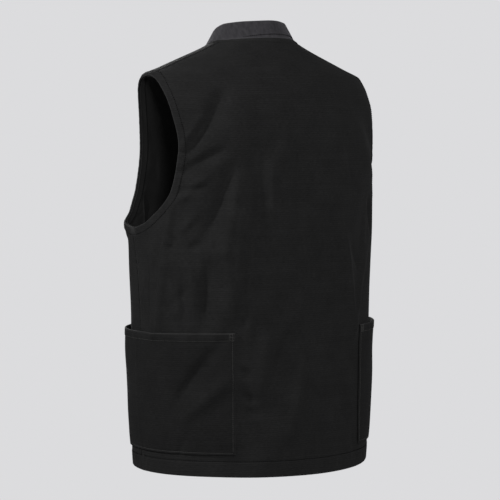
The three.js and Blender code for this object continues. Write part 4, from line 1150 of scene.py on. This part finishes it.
for label, side in SIDES:
    turns = np.linspace(1, 179, 160)
    rounds = []
    for is_back, order in ((True, turns), (False, turns[::-1])):
        spot_angle, spot_z = armhole_edge_out(order, is_back, ARM_STITCH)
        rounds.append(on_cloth(side * spot_angle, spot_z, 0.2 * MM))
    for is_back, order in ((True, turns), (False, turns[::-1])):
        inside = (FACING_WIDTH - 1.8 * MM) * facing_share(order, is_back)
        spot_angle, spot_z = armhole_edge_out(order, is_back, inside)
        stand = 0 if is_back else INNER_STITCH_STAND * np.abs(np.sin(np.radians(order))) ** 0.7
        line, out = on_cloth(side * spot_angle, spot_z, -CLOTH - FACING_WALL - 1.9 * MM - stand)
        rounds.append((line, -out))
    stitch_line(f"stitches_armhole_{label}", rounds, body_thread_painted_shade,
                pitch=3.4 * MM, length=2.4 * MM, thick=1.0 * MM)

    runs = []
    seam_z = np.linspace(-ARMHOLE_DROP - 0.014, -HEM_DROP + 0.004, 200)
    shoulder_x = np.linspace(NECK_HALF_WIDTH + 0.004, SHOULDER_HALF_WIDTH - 0.013, 60)
    for away in SEAM_STITCHES:
        shift = np.degrees(away / 0.185)
        runs.append(on_cloth(side * (seam_angle(-seam_z) - shift), seam_z, 0.30 * MM))
        shoulder_z = shoulder_height(shoulder_x)
        lean = np.degrees(away / back_depth(-shoulder_z))
        runs.append(on_cloth(side * (90 - lean), shoulder_z, 0.30 * MM))
    stitch_line(f"stitches_seams_{label}", runs, body_thread_painted_shade)

    inner_z = np.linspace(POCKET_TOP - 0.002, POCKET_TOP - POCKET_HEIGHT + BOTTOM_STITCH, 120)
    edge_share = SIDE_STITCH / POCKET_WIDTH
    placed = [on_pocket(side, share, inner_z, 0.05 * MM) for share in (edge_share, 1 - edge_share)]
    for start, height in ((edge_share, BOTTOM_STITCH - POCKET_HEIGHT), (0.004, -HEM_STITCH)):
        shares = np.linspace(start, 1 - start, 220)
        placed.append(on_pocket(side, shares, np.full(220, POCKET_TOP + height), 0.05 * MM))
    stitch_line(f"stitches_pocket_{label}", placed, pocket_thread_and_highlight)

    # A bartack at each end of the mouth: a small box of close stitches
    tacks = []
    for near, hand in ((0.0022, 1), (POCKET_WIDTH - 0.0022, -1)):
        for step in np.linspace(0, 0.0066, 4):
            column = (near + hand * step) / POCKET_WIDTH
            heights = np.linspace(POCKET_TOP - 0.0012, POCKET_TOP - 0.0112, 12)
            tacks.append(on_pocket(side, column, heights, 0.15 * MM))
        for drop in (0.0014, 0.0062, 0.0110):
            column = (near + hand * np.linspace(-0.0004, 0.0070, 10)) / POCKET_WIDTH
            tacks.append(on_pocket(side, column, np.full(10, POCKET_TOP - drop), 0.3 * MM))
    stitch_line(f"bartacks_pocket_{label}", tacks, pocket_thread_and_highlight,
                pitch=1.5 * MM, length=1.5 * MM, thick=0.6 * MM)

hem_angles = np.linspace(-176, 176, 900)
hem_line = on_cloth(hem_angles, np.full(900, HEM_TURN_UP - HEM_DROP), 0.08 * MM)
stitch_line("stitches_hem", [hem_line], body_thread_painted_shade, pitch=3.4 * MM, length=2.4 * MM, thick=0.95 * MM)

neck_runs = []
for is_back in (True, False):
    neck_x = NECK_HALF_WIDTH * np.sin(np.linspace(-np.pi / 2, np.pi / 2, 160))
    neck_z = top_height(np.abs(neck_x) * JUST_INSIDE, is_back)
    neck_angle = np.sign(neck_x) * neckline_angle(np.abs(neck_x), neck_z, is_back)
    line = form(neck_angle, neck_z)
    out = outward(neck_angle, neck_z)
    lead = unit(np.gradient(line, axis=0))
    away = unit(np.cross(out, lead)) * (-1 if is_back else 1)
    spot_angle = neck_angle
    spot_z = neck_z
    for _ in range(4):
        spot_angle, spot_z = step_on_form(spot_angle, spot_z, away * NECK_STITCH / 4)
    # The front runs stop beside the zip
    for part in [neck_x > -1] if is_back else [neck_x < -0.006, neck_x > 0.006]:
        neck_runs.append(on_cloth(spot_angle[part], spot_z[part], 0.15 * MM))
stitch_line("stitches_neck", neck_runs, body_thread_painted_shade, pitch=3.4 * MM, length=2.6 * MM, thick=0.95 * MM)

front_runs = []
for side in (-1, 1):
    for away in (0.003, 0.0095):
        run_z = np.linspace(-FRONT_NECK_DROP - 0.008, -HEM_DROP + 0.003, 220)
        run_angle = 180 - angle_at_width(ZIP_GAP / 2 + away, run_z, square_front(-run_z))
        front_runs.append(on_cloth(side * run_angle, run_z, 0.12 * MM))
stitch_line("stitches_zip", front_runs, body_thread_painted_shade)

# Floor, light and camera
# A pale seamless room: the floor is well below the hem, as it is under a standing wearer.

BACKDROP = (0.716, 0.716, 0.730, 1)
ROOM_GLOW = (0.20, 0.20, 0.20, 1)
world = bpy.data.worlds.new("pale_room")
world.use_nodes = True
sky = world.node_tree.nodes["Background"]
seen = world.node_tree.nodes.new("ShaderNodeLightPath")
blend = world.node_tree.nodes.new("ShaderNodeMix")
blend.data_type = "RGBA"
blend.inputs[6].default_value = ROOM_GLOW
blend.inputs[7].default_value = BACKDROP
world.node_tree.links.new(seen.outputs["Is Camera Ray"], blend.inputs[0])
world.node_tree.links.new(blend.outputs[2], sky.inputs["Color"])
bpy.context.scene.world = world

FLOOR_Z = -1.5
FLOOR_REACH = 30
mesh = bpy.data.meshes.new("floor")
corners = [(x * FLOOR_REACH, y * FLOOR_REACH, FLOOR_Z) for x, y in ((-1, -1), (1, -1), (1, 1), (-1, 1))]
mesh.from_pydata(corners, [], [(0, 1, 2, 3)])
floor = bpy.data.objects.new("floor", mesh)
bpy.context.scene.collection.objects.link(floor)
paint = Nodes("pale_floor")
floor_seen = paint.add("ShaderNodeLightPath").outputs["Is Camera Ray"]
glow = paint.mix("MIX", floor_seen, ROOM_GLOW, BACKDROP)
paint.surface({"Base Color": (0.0, 0.0, 0.0, 1), "Roughness": 1.0, "Specular IOR Level": 0.0,
               "Emission Color": glow, "Emission Strength": 1.0})
floor.data.materials.append(paint.material)

VIEW_TURN = 39
view_out = np.array([np.sin(np.radians(VIEW_TURN)), np.cos(np.radians(VIEW_TURN)), 0])
view_left = np.array([view_out[1], -view_out[0], 0])
middle = Vector((0, 0, -0.32))
# Lamps: metres out towards the camera, to its left and up, then width and power
for name, out, left, up, size, power in (
    ("key", 1.4, 2.2, 1.2, 0.4, 48),
    ("fill", 2.95, -0.30, 0.4, 0.4, 40),
    ("right", 1.1, -2.6, 0.9, 0.8, 17),
    ("front", -2.6, 0.7, 0.5, 1.0, 42),
):
    data = bpy.data.lights.new(name, "AREA")
    data.shape = "DISK"
    data.size = size
    data.energy = power
    lamp = bpy.data.objects.new(name, data)
    place = Vector(view_out * out + view_left * left + np.array([0, 0, up]))
    lamp.location = place
    lamp.rotation_euler = (middle - place).to_track_quat("-Z", "Y").to_euler()
    lamp.visible_camera = False
    bpy.context.scene.collection.objects.link(lamp)

CAMERA_DISTANCE = 3.1
CAMERA_HEIGHT = -0.150
AIM_HEIGHT = -0.331
PIXEL = 0.0016
SHIFT_PIXELS = 3
camera_data = bpy.data.cameras.new("camera")
camera = bpy.data.objects.new("camera", camera_data)
camera.location = view_out * CAMERA_DISTANCE + np.array([0, 0, CAMERA_HEIGHT])
aim = Vector((0, 0, AIM_HEIGHT))
camera.rotation_euler = (aim - camera.location).to_track_quat("-Z", "Y").to_euler()
camera_data.sensor_width = 36
camera_data.lens = 36 * (aim - camera.location).length / (500 * PIXEL)
camera_data.shift_x = -SHIFT_PIXELS / 500
camera_data.clip_end = 100
bpy.context.scene.collection.objects.link(camera)
bpy.context.scene.camera = camera
